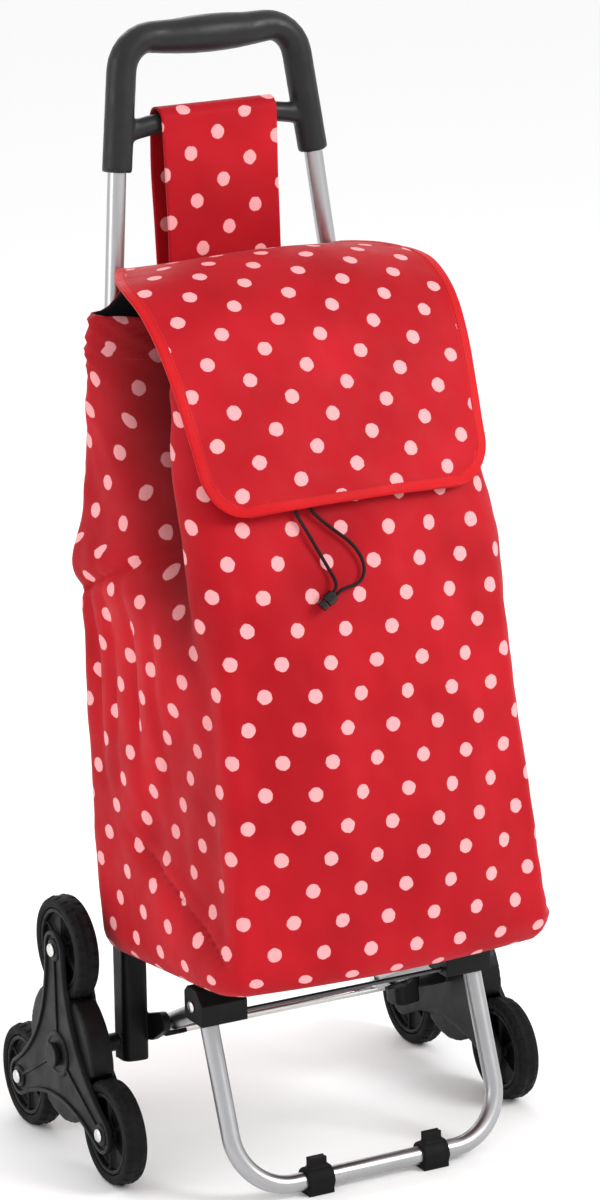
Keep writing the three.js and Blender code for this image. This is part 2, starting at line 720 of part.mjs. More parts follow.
const tyreProfile = [
  [WHEEL_R - TYRE_DEPTH, -WHEEL_HALF],
  [WHEEL_R - TYRE_SHOULDER, -WHEEL_HALF],
  [WHEEL_R, -WHEEL_HALF + 1.6 * TYRE_SHOULDER],
  [WHEEL_R, WHEEL_HALF - 1.6 * TYRE_SHOULDER],
  [WHEEL_R - TYRE_SHOULDER, WHEEL_HALF],
  [WHEEL_R - TYRE_DEPTH, WHEEL_HALF],
];
const RIM_R = WHEEL_R - TYRE_DEPTH - GAP;
const RIM_HALF = WHEEL_HALF - 1;
const WEB_HALF = RIM_WEB / 2;
const rimProfile = [
  [PIN_R + RUNNING, -WHEEL_HALF],
  [HUB_R, -WHEEL_HALF],
  [HUB_R, -WEB_HALF],
  [RIM_R - RIM_RING, -WEB_HALF],
  [RIM_R - RIM_RING, -RIM_HALF],
  [RIM_R, -RIM_HALF],
  [RIM_R, RIM_HALF],
  [RIM_R - RIM_RING, RIM_HALF],
  [RIM_R - RIM_RING, WEB_HALF],
  [HUB_R, WEB_HALF],
  [HUB_R, WHEEL_HALF],
  [PIN_R + RUNNING, WHEEL_HALF],
];

for (const [name, side] of SIDES) {
  add(`star_inner_${name}`, starInner(side), plastic);
  add(`star_outer_${name}`, starOuter(side), plastic);
  ["top", "rear", "front"].forEach((place, k) => {
    const c = wheelCentres[k];
    add(`wheel_pin_${name}_${place}`, wheelPin(side, c), zinc);
    add(`rim_${name}_${place}`, turned(rimProfile, 20, side * TRACK_HALF, c.y, c.z), rimPlastic);
    add(`tyre_${name}_${place}`, turned(tyreProfile, 32, side * TRACK_HALF, c.y, c.z), rubber);
  });
}

// ---------------------------------------------------------------- platform
function platformArm(side) {
  const end = (along) => {
    const [y, z] = onArm(along);
    return vec(side * ARM_X, y, z);
  };
  const length = Math.hypot(JOINT.y - ARM_PIVOT.y, JOINT.z - ARM_PIVOT.z);
  return cut(
    tube([end(-ARM_END), end(length + ARM_END - 1)]),
    barX(side * (ARM_X - 12), side * (ARM_X + 12), ARM_PIVOT.y, ARM_PIVOT.z, PIVOT_BOLT_R + RUNNING, 12),
    barX(side * (ARM_X - 12), side * (ARM_X + 12), JOINT.y, JOINT.z, RIVET_R + GAP, 12),
  );
}

const LEG_CAVITY_R = TUBE_R + 2.8;

// The moulded corner: a socket for the arm, and beside it a hood in which the leg turns on the rivet.
function jointCap(side) {
  const chamfer = 6;
  const { front, back, bottom, top } = CAP;
  const outline = [
    [front, bottom],
    [back, bottom],
    [back, top - chamfer],
    [back - chamfer, top],
    [front + 2 * chamfer, top],
    [front, top - 2 * chamfer],
  ];
  const body = plateX(outline, side * CAP.inner, side * CAP.outer);
  const [armY, armZ] = onArm(0);
  const [endY, endZ] = [JOINT.y - ARM_END * Math.cos(ARM_SLOPE), JOINT.z + ARM_END * Math.sin(ARM_SLOPE)];
  const armSocket = bar(vec(side * ARM_X, armY, armZ), vec(side * ARM_X, endY, endZ), TUBE_R + GAP);
  // the room the leg sweeps, from its standing to its folded direction
  const legWay = (angle, across) => {
    const dir = [-Math.cos(angle), -Math.sin(angle)];
    const normal = [-Math.sin(angle), Math.cos(angle)];
    const root = [JOINT.y + across * normal[0], JOINT.z + across * normal[1]];
    return [root, [root[0] + 60 * dir[0], root[1] + 60 * dir[1]]];
  };
  const reach = TUBE_R + GAP + 0.2;
  const [standRoot, standEnd] = legWay(LEG_ANGLE, reach);
  const [foldRoot, foldEnd] = legWay(LEG_ANGLE + THREE.MathUtils.degToRad(LEG_FOLD_DEG), -reach);
  const below = [JOINT.y, JOINT.z - 90];
  const [slot0, slot1] = [side * (LEG_X - TUBE_R - GAP), side * (LEG_X + TUBE_R + GAP)];
  const sweep = plateX([foldRoot, standRoot, standEnd, below, foldEnd], slot0, slot1);
  const cavity = barX(slot0, slot1, JOINT.y, JOINT.z, LEG_CAVITY_R, 20);
  const rivetBore = barX(side * (CAP.inner - 2), side * (CAP.outer + 2), JOINT.y, JOINT.z, RIVET_R + GAP, 12);
  const rodBore = barX(side * (CAP.inner - 2), side * (CAP.inner + 14), JOINT.y + ROD_OFFSET.y,
    JOINT.z + ROD_OFFSET.z, ROD_R + GAP, 10);
  return cut(body, armSocket, sweep, cavity, rivetBore, rodBore);
}

function legRivet(side) {
  return join(
    barX(side * (CAP.inner - 1), side * (CAP.outer + 1), JOINT.y, JOINT.z, RIVET_R, 12),
    barX(side * (CAP.outer + 0.3), side * (CAP.outer + 2.8), JOINT.y, JOINT.z, RIVET_HEAD_R, 12),
    barX(side * (CAP.inner - 2.8), side * (CAP.inner - 0.3), JOINT.y, JOINT.z, RIVET_HEAD_R, 12),
  );
}

for (const [name, side] of SIDES) {
  add(`platform_arm_${name}`, platformArm(side), steel);
  add(`joint_cap_${name}`, jointCap(side), plastic);
  add(`leg_rivet_${name}`, legRivet(side), zinc);
}
const rodEnd = CAP.inner + 12;
add("cross_rod", barX(-rodEnd, rodEnd, JOINT.y + ROD_OFFSET.y, JOINT.z + ROD_OFFSET.z, ROD_R, 10), darkSteel);

// ---------------------------------------------------------------- front leg
function legLoop() {
  const pastPivot = 6;
  const topY = JOINT.y + pastPivot * Math.cos(LEG_ANGLE);
  const topZ = JOINT.z + pastPivot * Math.sin(LEG_ANGLE);
  const top = (side) => vec(side * LEG_X, topY, topZ);
  const corner = (side) => vec(side * LEG_X, LEG_BAR_Y, LEG_BAR_Z);
  const loop = tube(rounded([top(-1), corner(-1), corner(1), top(1)], LEG_BEND_R, 6));
  const bores = SIDES.map(([, side]) =>
    barX(side * (LEG_X - 12), side * (LEG_X + 12), JOINT.y, JOINT.z, RIVET_R + RUNNING, 12));
  return cut(loop, ...bores);
}

// A split clamp with a flat rubber sole and a screw ear.
function footClamp(side) {
  const [x0, x1] = [side * FOOT_SPACING_HALF - FOOT_WIDTH / 2, side * FOOT_SPACING_HALF + FOOT_WIDTH / 2];
  const clampR = TUBE_R + FOOT_WALL;
  const earHalf = FOOT_WIDTH / 3;
  const earX = side * FOOT_SPACING_HALF;
  const earTop = LEG_BAR_Z + clampR + FOOT_EAR;
  const shell = join(
    barX(x0, x1, LEG_BAR_Y, LEG_BAR_Z, clampR, 20),
    block(x0, x1, LEG_BAR_Y - FOOT_BASE_HALF, LEG_BAR_Y + FOOT_BASE_HALF, GROUND_Z, LEG_BAR_Z),
    block(earX - earHalf, earX + earHalf, LEG_BAR_Y - FOOT_WALL, LEG_BAR_Y + FOOT_WALL, LEG_BAR_Z, earTop),
  );
  return cut(
    overlapOf(shell, block(x0, x1, LEG_BAR_Y - 2 * clampR, LEG_BAR_Y + 2 * clampR, GROUND_Z, earTop)),
    barX(x0 - 2, x1 + 2, LEG_BAR_Y, LEG_BAR_Z, TUBE_R + GAP),
    block(x0 - 2, x1 + 2, LEG_BAR_Y - FOOT_SPLIT_HALF, LEG_BAR_Y + FOOT_SPLIT_HALF, LEG_BAR_Z, earTop + 1),
  );
}

add("leg_loop", legLoop(), steel);
for (const [name, side] of SIDES) {
  add(`foot_${name}`, footClamp(side), rubber);
}

// ---------------------------------------------------------------- bag
// The outline of the bag at a level, going round from the middle of the back by the left side to the front.
const backY = (z) => leanY(z) - TUBE_R - BAG_TO_UPRIGHT;

function levelHeight(level, y) {
  const depth = backY(level.back) - level.y;
  return level.back + ((level.front - level.back) * (backY(level.back) - y)) / depth;
}

// Half outline on the +X side: lists of [x, y] for the back, side and front runs, inset by a distance.
function halfOutline(level, inset = 0) {
  const back = backY(level.back) - inset;
  const wide = level.wide - inset;
  const narrow = level.narrow - inset;
  const frontCorner = BAG_FRONT_CORNER - inset;
  const backCorner = BAG_BACK_CORNER - inset;
  const cornerY = level.y + BAG_CROWN + inset;
  const side = [];
  for (let i = 0; i <= 3; i++) {
    const a = (Math.PI / 2) * (i / 3);
    side.push([wide - backCorner * (1 - Math.sin(a)), back - backCorner * (1 - Math.cos(a))]);
  }
  const steps = 3;
  const [sx, sy] = side.at(-1);
  const endY = cornerY + frontCorner;
  for (let i = 1; i < steps; i++) {
    side.push([sx + ((narrow - sx) * i) / steps, sy + ((endY - sy) * i) / steps]);
  }
  for (let i = 0; i <= 4; i++) {
    const a = (Math.PI / 2) * (i / 4);
    side.push([narrow - frontCorner * (1 - Math.cos(a)), cornerY + frontCorner * (1 - Math.sin(a))]);
  }
  const frontHalf = narrow - frontCorner;
  const front = [];
  for (let i = 0; i <= 3; i++) {
    const x = frontHalf * (1 - i / 3);
    front.push([x, cornerY - BAG_CROWN * (1 - (x / frontHalf) ** 2)]);
  }
  return { backHalf: wide - backCorner, back, side, front };
}

const asPoints = (run, level, mirror) => run.map(([x, y]) => vec(mirror * x, y, levelHeight(level, y)));

// The same run with both ends pulled in, so that neighbouring panels keep a gap at the seam.
const seam = (points) => {
  const out = points.map((p) => p.clone());
  for (const [end, next] of [[0, 1], [points.length - 1, points.length - 2]]) {
    out[end].addScaledVector(out[next].clone().sub(out[end]).normalize(), BAG_SEAM);
  }
  return out;
};

function panel(runOf) {
  const grid = (inset) => BAG_LEVELS.map((level) => seam(runOf(level, inset)));
  return sheetSolid(grid(0), grid(CLOTH));
}

const sidePanel = (mirror) =>
  panel((level, inset) => asPoints(halfOutline(level, inset).side, level, mirror));

const frontPanel = () =>
  panel((level, inset) => {
    const { front } = halfOutline(level, inset);
    const left = asPoints(front, level, -1);
    const right = asPoints(front, level, 1);
    return [...left, ...right.reverse().slice(1)];
  });

const backPanel = () =>
  panel((level, inset) => {
    const { back, backHalf } = halfOutline(level, inset);
    const run = [-1, -0.5, 0, 0.5, 1].map((t) => [t * backHalf, back]);
    return asPoints(run, level, 1);
  });

// A closed ring of points at the bag's lowest level, inset and lowered.
function baseRing(inset, drop) {
  const level = BAG_LEVELS[0];
  const { side, front, back } = halfOutline(level);
  const half = [[0, back], ...side, ...front.slice(1)];
  const ring = [...half, ...half.slice(1, -1).reverse().map(([x, y]) => [-x, y])];
  const middleY = (back + level.y) / 2;
  return ring.map(([x, y]) => {
    const [kx, ky] = [(level.wide - inset) / level.wide, 1 - (2 * inset) / (back - level.y)];
    const insetY = middleY + (y - middleY) * ky;
    return vec(x * kx, insetY, levelHeight(level, insetY) - drop);
  });
}

// A closed solid skinned over rings of equal count, with a flat cap at each end of the list.
function ringSolid(rings) {
  const count = rings[0].length;
  const positions = [];
  const push = (p) => positions.push(p.x, p.y, p.z);
  rings.flat().forEach(push);
  const centre = (ring) => ring.reduce((a, b) => a.add(b), vec(0, 0, 0)).divideScalar(count);
  push(centre(rings[0]));
  push(centre(rings.at(-1)));
  const index = [];
  const last = rings.length - 1;
  const [firstCentre, lastCentre] = [rings.length * count, rings.length * count + 1];
  for (let i = 0; i < count; i++) {
    const n = (i + 1) % count;
    for (let r = 0; r < last; r++) {
      const [a, b] = [r * count, (r + 1) * count];
      index.push(a + i, a + n, b + n, a + i, b + n, b + i);
    }
    index.push(firstCentre, n, i, lastCentre, last * count + i, last * count + n);
  }
  const geometry = new THREE.BufferGeometry();
  geometry.setAttribute("position", new THREE.Float32BufferAttribute(positions, 3));
  geometry.setIndex(index);
  return outwards(geometry);
}

const BASE_FLAT_IN = 30;
const BASE_CURVE_IN = 9;
const BASE_CURVE_DROP = 0.55 * BAG_BASE_DROP;

// The bottom: a shallow tray, flat underneath, that curves up to the seam with the walls.
const bagBottom = () =>
  ringSolid([
    baseRing(BASE_FLAT_IN, BAG_BASE_DROP),
    baseRing(BASE_CURVE_IN, BASE_CURVE_DROP),
    baseRing(BAG_SEAM, BAG_SEAM),
    baseRing(BAG_SEAM + CLOTH, BAG_SEAM),
    baseRing(BASE_CURVE_IN + CLOTH, BASE_CURVE_DROP - CLOTH),
    baseRing(BASE_FLAT_IN, BAG_BASE_DROP - CLOTH),
  ]);

const baseBoard = () => {
  const top = BAG_BASE_DROP - CLOTH - GAP - BOARD_T;
  return ringSolid([baseRing(BOARD_MARGIN, BAG_BASE_DROP - CLOTH - GAP), baseRing(BOARD_MARGIN, top)]);
};

// The drawcord's strands come out of the front through two eyelets.
const eyelets = () =>
  [CORD_LEFT, CORD_RIGHT].map(([[x, y, z]]) => bar(vec(x, y - 12, z), vec(x, y + 12, z), EYELET_R, 10));

add("bag_front", cut(frontPanel(), ...eyelets()), cloth);
add("bag_back", backPanel(), cloth);
add("bag_side_left", sidePanel(-1), cloth);
add("bag_side_right", sidePanel(1), cloth);
add("bag_bottom", bagBottom(), cloth);
add("base_board", baseBoard(), lining);

// ---------------------------------------------------------------- flap
// Normals of a profile of [Y, Z] points, to the left of its direction when looking along -X.
function profileNormals(profile) {
  return profile.map((_, i) => {
    const a = profile[Math.max(i - 1, 0)];
    const b = profile[Math.min(i + 1, profile.length - 1)];
    const [dy, dz] = [b[0] - a[0], b[1] - a[1]];
    const size = Math.hypot(dy, dz);
    return [-dz / size, dy / size];
  });
}

// Half the flap's width at a distance along it from the hinge.
function flapHalf(along, total) {
  const ease = (t) => t * t * (3 - 2 * t);
  const [hinge, widest, end] = [BAG_HALF - FLAP_HINGE_IN, BAG_HALF - FLAP_WIDEST_IN, BAG_HALF - FLAP_END_IN];
  const side = along < FLAP_WIDEST_AT
    ? hinge + (widest - hinge) * Math.sin((Math.PI / 2) * (along / FLAP_WIDEST_AT))
    : widest + (end - widest) * ease((along - FLAP_WIDEST_AT) / (total - FLAP_WIDEST_AT));
  const past = Math.max(0, FLAP_CORNER - (total - along));
  return side - (FLAP_CORNER - Math.sqrt(FLAP_CORNER ** 2 - past ** 2)) * 0.9;
}

function flap() {
  const profile = FLAP_PROFILE.map(([y, above]) => [TOP_Y + y, BAG_TOP_Z + above]);
  const normals = profileNormals(profile);
  const lengths = [0];
  for (let i = 1; i < profile.length; i++) {
    const [a, b] = [profile[i - 1], profile[i]];
    lengths.push(lengths.at(-1) + Math.hypot(b[0] - a[0], b[1] - a[1]));
  }
  const total = lengths.at(-1);
  const columns = [-1, -0.8, -0.5, -0.2, 0.2, 0.5, 0.8, 1];
  const grid = (depth) =>
    profile.map(([y, z], j) => {
      const half = flapHalf(lengths[j], total);
      return columns.map((c) => {
        const drop = depth + FLAP_CROWN * c * c * Math.min(1, lengths[j] / FLAP_CROWN_FROM);
        return vec(c * half, y + normals[j][0] * drop, z + normals[j][1] * drop);
      });
    });
  return sheetSolid(grid(0), grid(FLAP_T));
}
add("flap", flap(), cloth);

// ---------------------------------------------------------------- straps
// A band of cloth over the handle's crossbar, from the top of the bag's back and down again behind it.
function hangingStrap() {
  const barZ = HANDLE_BAR_END_Z + HANDLE_BAR_RISE;
  const barY = leanY(HANDLE_BAR_END_Z);
  const over = (room) => {
    const points = [];
    for (let i = 0; i <= 8; i++) {
      const a = Math.PI * (1 - i / 8);
      points.push([
        barY + (HANDLE_BAR_HALF.y + room) * Math.cos(a),
        barZ + (HANDLE_BAR_HALF.z + room) * Math.sin(a),
      ]);
    }
    return points;
  };
  const run = (points, inwards) => points.map(([y, above]) => [TOP_Y + y + inwards, BAG_TOP_Z + above]);
  const outerLine = [...run(STRAP_FRONT_RUN, 0), ...over(STRAP_ROOM + STRAP_T), ...run(STRAP_BACK_RUN, 0)];
  const innerLine = [
    ...run(STRAP_FRONT_RUN, STRAP_T),
    ...over(STRAP_ROOM),
    ...run(STRAP_BACK_RUN, -STRAP_T),
  ];
  return plateX([...outerLine, ...innerLine.reverse()], -STRAP_HALF, STRAP_HALF);
}
add("hanging_strap", hangingStrap(), cloth);

// A tape round each upright that holds the lower part of the bag's back to the frame.
function tieStrap(side) {
  const low = uprightAt(side, TIE_Z - TIE_HEIGHT / 2);
  const high = uprightAt(side, TIE_Z + TIE_HEIGHT / 2);
  const room = TUBE_R + GAP;
  const ring = bar(low, high, room + TIE_T);
  const front = backY(TIE_Z) + BAG_SEAM + 0.8;
  const tab = block(low.x - TIE_TAB_HALF, low.x + TIE_TAB_HALF, front, low.y - 2, low.z + 1, high.z - 1);
  const past = high.clone().sub(low).multiplyScalar(0.2);
  return cut(join(ring, tab), bar(low.clone().sub(past), high.clone().add(past), room));
}
for (const [name, side] of SIDES) {
  add(`tie_strap_${name}`, tieStrap(side), lining);
}

// ---------------------------------------------------------------- drawcord
function cordStrand(points) {
  const curve = new THREE.CatmullRomCurve3(points.map((p) => vec(...p)));
  return new THREE.ExtrudeGeometry(ovalShape(CORD_R, CORD_R, CORD_SIDES), {
    steps: CORD_STEPS,
    extrudePath: curve,
    curveSegments: 1,
  });
}

// A bar along the lock's axis between two distances from its centre.
function lockBar(from, to, radius, sides) {
  const at = (u) => vec(LOCK.x + u * LOCK_AXIS.x, LOCK.y, LOCK.z + u * LOCK_AXIS.z);
  return bar(at(from), at(to), radius, sides);
}

// A blind bore for a strand, along the lock's axis to where the strand ends.
function lockBore(points) {
  const end = vec(...points.at(-1));
  const inwards = vec(LOCK_AXIS.x, 0, LOCK_AXIS.z);
  const mouth = end.clone().addScaledVector(inwards, -10);
  return bar(mouth, end.clone().addScaledVector(inwards, 0.6), CORD_R + GAP, 10);
}

const lockBody = () =>
  cut(
    join(lockBar(...LOCK_BARREL, LOCK_R, 20), lockBar(LOCK_BARREL[1] - 1, LOCK_STEM_END, LOCK_STEM_R, 14)),
    lockBore(CORD_LEFT),
    lockBore(CORD_RIGHT),
  );

const lockPlunger = () =>
  cut(
    lockBar(...PLUNGER_SPAN, PLUNGER_R, 20),
    lockBar(PLUNGER_SPAN[0] - 1, PLUNGER_FLOOR, LOCK_STEM_R + GAP, 14),
  );

add("drawcord_left", cordStrand(CORD_LEFT), cordBlack);
add("drawcord_right", cordStrand(CORD_RIGHT), cordBlack);
add("lock_body", lockBody(), plastic);
add("lock_plunger", lockPlunger(), plastic);

// ---------------------------------------------------------------- centring
// The origin lies on the ground under the middle of the trolley's box.
const bounds = new THREE.Box3().setFromObject(trolley);
trolley.position.set(0, -(bounds.min.y + bounds.max.y) / 2, -GROUND_Z);
trolley.updateMatrixWorld(true);

export default trolley;
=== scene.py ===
"""A stair-climbing shopping trolley: tube frame, moulded handle, dotted bag and three-wheel clusters."""

import json
import math

import bmesh
import bpy
import numpy as np
from mathutils import Matrix, Vector, noise


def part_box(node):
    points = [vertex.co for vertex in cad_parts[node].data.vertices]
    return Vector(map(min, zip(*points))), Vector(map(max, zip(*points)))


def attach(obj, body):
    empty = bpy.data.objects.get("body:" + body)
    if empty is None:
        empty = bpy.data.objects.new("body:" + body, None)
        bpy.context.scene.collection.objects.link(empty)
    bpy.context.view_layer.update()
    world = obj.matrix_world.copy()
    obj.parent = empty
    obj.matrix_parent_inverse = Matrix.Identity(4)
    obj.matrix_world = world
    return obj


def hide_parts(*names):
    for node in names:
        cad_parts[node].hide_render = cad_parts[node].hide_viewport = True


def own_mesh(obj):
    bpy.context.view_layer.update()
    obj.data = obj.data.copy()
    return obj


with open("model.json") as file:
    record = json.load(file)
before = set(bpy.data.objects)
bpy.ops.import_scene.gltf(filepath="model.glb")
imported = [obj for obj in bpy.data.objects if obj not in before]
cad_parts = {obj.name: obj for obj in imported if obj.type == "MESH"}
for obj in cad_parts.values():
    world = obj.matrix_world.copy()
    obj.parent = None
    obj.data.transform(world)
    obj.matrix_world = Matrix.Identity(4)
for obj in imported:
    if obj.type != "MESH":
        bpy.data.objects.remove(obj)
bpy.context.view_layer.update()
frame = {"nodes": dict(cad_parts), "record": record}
NODES = frame["nodes"]
SIDES = (("left", -1), ("right", 1))
PLACES = ("top", "rear", "front")
TINY = 1e-7


def middle(node):
    low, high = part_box(node)
    return (low + high) / 2


AXLE_Y = middle("axle").y
AXLE_Z = middle("axle").z


# --- camera
CAMERA = {
    "yaw": math.radians(27.76),
    "pitch": math.radians(15.34),
    "roll": math.radians(-1.39),
    "distance": 4.0957,
    "target": Vector((-0.0008, AXLE_Y - 0.080, 0.4881)),
    "lens": 144.8,
}


def make_camera():
    yaw, pitch, roll = CAMERA["yaw"], CAMERA["pitch"], CAMERA["roll"]
    forward = Vector((math.sin(yaw) * math.cos(pitch), math.cos(yaw) * math.cos(pitch), -math.sin(pitch)))
    right = Vector((math.cos(yaw), -math.sin(yaw), 0))
    up = right.cross(forward)
    turned_right = right * math.cos(roll) + up * math.sin(roll)
    turned_up = up * math.cos(roll) - right * math.sin(roll)
    data = bpy.data.cameras.new("camera")
    data.lens = CAMERA["lens"]
    data.sensor_width = 36
    camera = bpy.data.objects.new("camera", data)
    bpy.context.scene.collection.objects.link(camera)
    place = CAMERA["target"] - forward * CAMERA["distance"]
    turn = Matrix((turned_right, turned_up, -forward)).transposed()
    camera.matrix_world = Matrix.Translation(place) @ turn.to_4x4()
    bpy.context.scene.camera = camera


make_camera()


# --- mesh helpers
def new_piece(name, vertices, faces, body, materials, uvs=None, sharp_deg=None):
    """A mesh object on a body, with its finish; uvs holds one pair per vertex."""
    mesh = bpy.data.meshes.new(name)
    mesh.from_pydata([tuple(v) for v in vertices], [], faces)
    mesh.update()
    if uvs is not None:
        layer = mesh.uv_layers.new(name="cloth")
        picked = np.asarray(uvs, float)[np.array([loop.vertex_index for loop in mesh.loops])]
        layer.data.foreach_set("uv", picked.astype(np.float32).ravel())
    mesh.polygons.foreach_set("use_smooth", [True] * len(mesh.polygons))
    if sharp_deg is not None:
        mesh.set_sharp_from_angle(angle=math.radians(sharp_deg))
    piece = bpy.data.objects.new(name, mesh)
    bpy.context.scene.collection.objects.link(piece)
    for material in materials if isinstance(materials, (list, tuple)) else [materials]:
        mesh.materials.append(material)
    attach(piece, body)
    return piece


def apply_modifiers(piece):
    graph = bpy.context.evaluated_depsgraph_get()
    graph.update()
    mesh = bpy.data.meshes.new_from_object(piece.evaluated_get(graph))
    piece.modifiers.clear()
    piece.data = mesh
    return piece


def grid_faces(rows, columns, closed=False, flip=False):
    faces = []
    across = columns if closed else columns - 1
    for j in range(rows - 1):
        for i in range(across):
            n = (i + 1) % columns
            face = [j * columns + i, j * columns + n, (j + 1) * columns + n, (j + 1) * columns + i]
            faces.append(face[::-1] if flip else face)
    return faces


def smooth_route(points, count):
    """A Catmull-Rom curve through the points, at even steps of its length."""
    pts = [Vector(p) for p in points]
    pts = [pts[0] * 2 - pts[1], *pts, pts[-1] * 2 - pts[-2]]
    dense = []
    for k in range(1, len(pts) - 2):
        a, b, c, d = pts[k - 1 : k + 3]
        for s in range(12):
            t = s / 12
            square, cube = (2 * a - 5 * b + 4 * c - d) * t * t, (3 * b - a - 3 * c + d) * t**3
            dense.append(0.5 * (2 * b + (c - a) * t + square + cube))
    dense.append(pts[-2])
    return even_route(dense, count)


def even_route(points, count):
    """The polyline's points at even steps of its length."""
    p = np.array([tuple(v) for v in points])
    steps = np.linalg.norm(np.diff(p, axis=0), axis=1)
    s = np.concatenate(([0], np.cumsum(steps)))
    t = np.linspace(0, s[-1], count)
    return [Vector(place) for place in np.stack([np.interp(t, s, p[:, k]) for k in range(3)], 1)]


def route_length(route):
    return sum((b - a).length for a, b in zip(route, route[1:]))


def rounded_route(corners, radius, per_bend=14):
    """Points of a route through corners, each rounded to a radius."""
    pts = [Vector(c) for c in corners]
    out = [pts[0]]
    for a, b, c in zip(pts, pts[1:], pts[2:]):
        back, ahead = (a - b).normalized(), (c - b).normalized()
        half = back.angle(ahead) / 2
        centre = b + (back + ahead).normalized() * (radius / math.sin(half))
        start = b + back * (radius / math.tan(half)) - centre
        end = b + ahead * (radius / math.tan(half)) - centre
        sweep = start.angle(end)
        for k in range(per_bend + 1):
            t = k / per_bend
            spoke = start * math.sin((1 - t) * sweep) + end * math.sin(t * sweep)
            out.append(centre + spoke / math.sin(sweep))
    out.append(pts[-1])
    return out


def tube_mesh(route, radius, sides):
    """Vertices, faces and UVs (metres round, metres along) of a capped round tube along a route."""
    last = len(route) - 1
    tangents = [(route[min(k + 1, last)] - route[max(k - 1, 0)]).normalized() for k in range(last + 1)]
    side = tangents[0].orthogonal().normalized()
    if abs(tangents[0].x) < 0.9:
        side = (Vector((1, 0, 0)) - tangents[0] * tangents[0].x).normalized()
    vertices, uvs = [], []
    along = 0.0
    for k, (point, tangent) in enumerate(zip(route, tangents)):
        if k:
            along += (point - route[k - 1]).length
            side = (side - tangent * side.dot(tangent)).normalized()
        up = tangent.cross(side)
        for i in range(sides + 1):
            angle = 2 * math.pi * i / sides
            vertices.append(point + side * (radius * math.cos(angle)) + up * (radius * math.sin(angle)))
            uvs.append((radius * angle, along))
    columns = sides + 1
    faces = grid_faces(len(route), columns)
    faces += [list(range(sides))[::-1], [last * columns + i for i in range(sides)]]
    return vertices, faces, uvs


def edit_mesh(piece, change=None):
    """Makes a change in bmesh, then turns every face outwards."""
    work = bmesh.new()
    work.from_mesh(piece.data)
    if change:
        change(work)
    bmesh.ops.recalc_face_normals(work, faces=work.faces)
    work.to_mesh(piece.data)
    work.free()
    return piece


def join_seam(piece, distance=1e-6):
    """Merges the doubled vertices that a swept or turned mesh has along its seam."""
    return edit_mesh(piece, lambda work: bmesh.ops.remove_doubles(work, verts=work.verts, dist=distance))


def tube_piece(name, route, radius, body, material, sides=40):
    vertices, faces, uvs = tube_mesh(route, radius, sides)
    return join_seam(new_piece(name, vertices, faces, body, material, uvs, sharp_deg=40))


def turned_mesh(profile, centre, segments, closed=True, dip=None):
    """Vertices, faces and UVs of (radius, x) pairs turned about an axis along X.

    dip(segment, radius, x) is taken off the radius there."""
    vertices, faces, uvs = [], [], []
    count = len(profile)
    for i in range(segments):
        angle = 2 * math.pi * i / segments
        n = (i + 1) % segments
        for radius, x in profile:
            r = radius - dip(i, radius, x) if dip else radius
            vertices.append(Vector(centre) + Vector((x, r * math.sin(angle), r * math.cos(angle))))
            uvs.append((x, r * angle))
        for k in range(count if closed else count - 1):
            m = (k + 1) % count
            faces.append([i * count + k, n * count + k, n * count + m, i * count + m])
    return vertices, faces, uvs


def turned_piece(name, profile, centre, body, material, segments):
    """A solid turned from a closed profile."""
    vertices, faces, uvs = turned_mesh(profile, centre, segments)
    return join_seam(new_piece(name, vertices, faces, body, material, uvs, sharp_deg=35), TINY)


# --- materials
def base_material(name, color, roughness, metallic=0.0):
    material = bpy.data.materials.new(name)
    material.use_nodes = True
    tree = material.node_tree
    shader = tree.nodes["Principled BSDF"]
    shader.inputs["Base Color"].default_value = (*color, 1)
    shader.inputs["Roughness"].default_value = roughness
    shader.inputs["Metallic"].default_value = metallic
    return material, tree, shader


def add_node(tree, kind, **values):
    node = tree.nodes.new(kind)
    for key, value in values.items():
        if hasattr(node, key):
            setattr(node, key, value)
        else:
            node.inputs[key].default_value = value
    return node


def noise_node(tree, source, scale, detail=3.0, roughness=0.55):
    node = tree.nodes.new("ShaderNodeTexNoise")
    node.inputs["Scale"].default_value = scale
    node.inputs["Detail"].default_value = detail
    node.inputs["Roughness"].default_value = roughness
    tree.links.new(source, node.inputs["Vector"])
    return node.outputs["Fac"]


def map_range(tree, value, from_low, from_high, to_low, to_high, smooth=False):
    node = tree.nodes.new("ShaderNodeMapRange")
    if smooth:
        node.interpolation_type = "SMOOTHSTEP"
    tree.links.new(value, node.inputs[0])
    for k, number in enumerate((from_low, from_high, to_low, to_high), 1):
        node.inputs[k].default_value = number
    return node.outputs[0]


def mix_color(tree, factor, first, second, blend="MIX"):
    node = tree.nodes.new("ShaderNodeMix")
    node.data_type = "RGBA"
    node.blend_type = blend
    for socket, value in ((node.inputs[0], factor), (node.inputs[6], first), (node.inputs[7], second)):
        if isinstance(value, bpy.types.NodeSocket):
            tree.links.new(value, socket)
        elif isinstance(value, (int, float)):
            socket.default_value = value
        else:
            socket.default_value = (*value, 1)
    return node.outputs[2]


def math_node(tree, operation, first, second=None):
    node = tree.nodes.new("ShaderNodeMath")
    node.operation = operation
    for socket, value in zip(node.inputs, (first, second)):
        if value is None:
            continue
        if isinstance(value, bpy.types.NodeSocket):
            tree.links.new(value, socket)
        else:
            socket.default_value = value
    return node.outputs[0]


def dot_product(tree, vector, direction):
    node = tree.nodes.new("ShaderNodeVectorMath")
    node.operation = "DOT_PRODUCT"
    tree.links.new(vector, node.inputs[0])
    node.inputs[1].default_value = direction
    return node.outputs["Value"]


def product_sum(tree, first, second):
    """a times b plus c times d, for the pairs (a, b) and (c, d)."""
    return math_node(tree, "ADD", math_node(tree, "MULTIPLY", *first), math_node(tree, "MULTIPLY", *second))


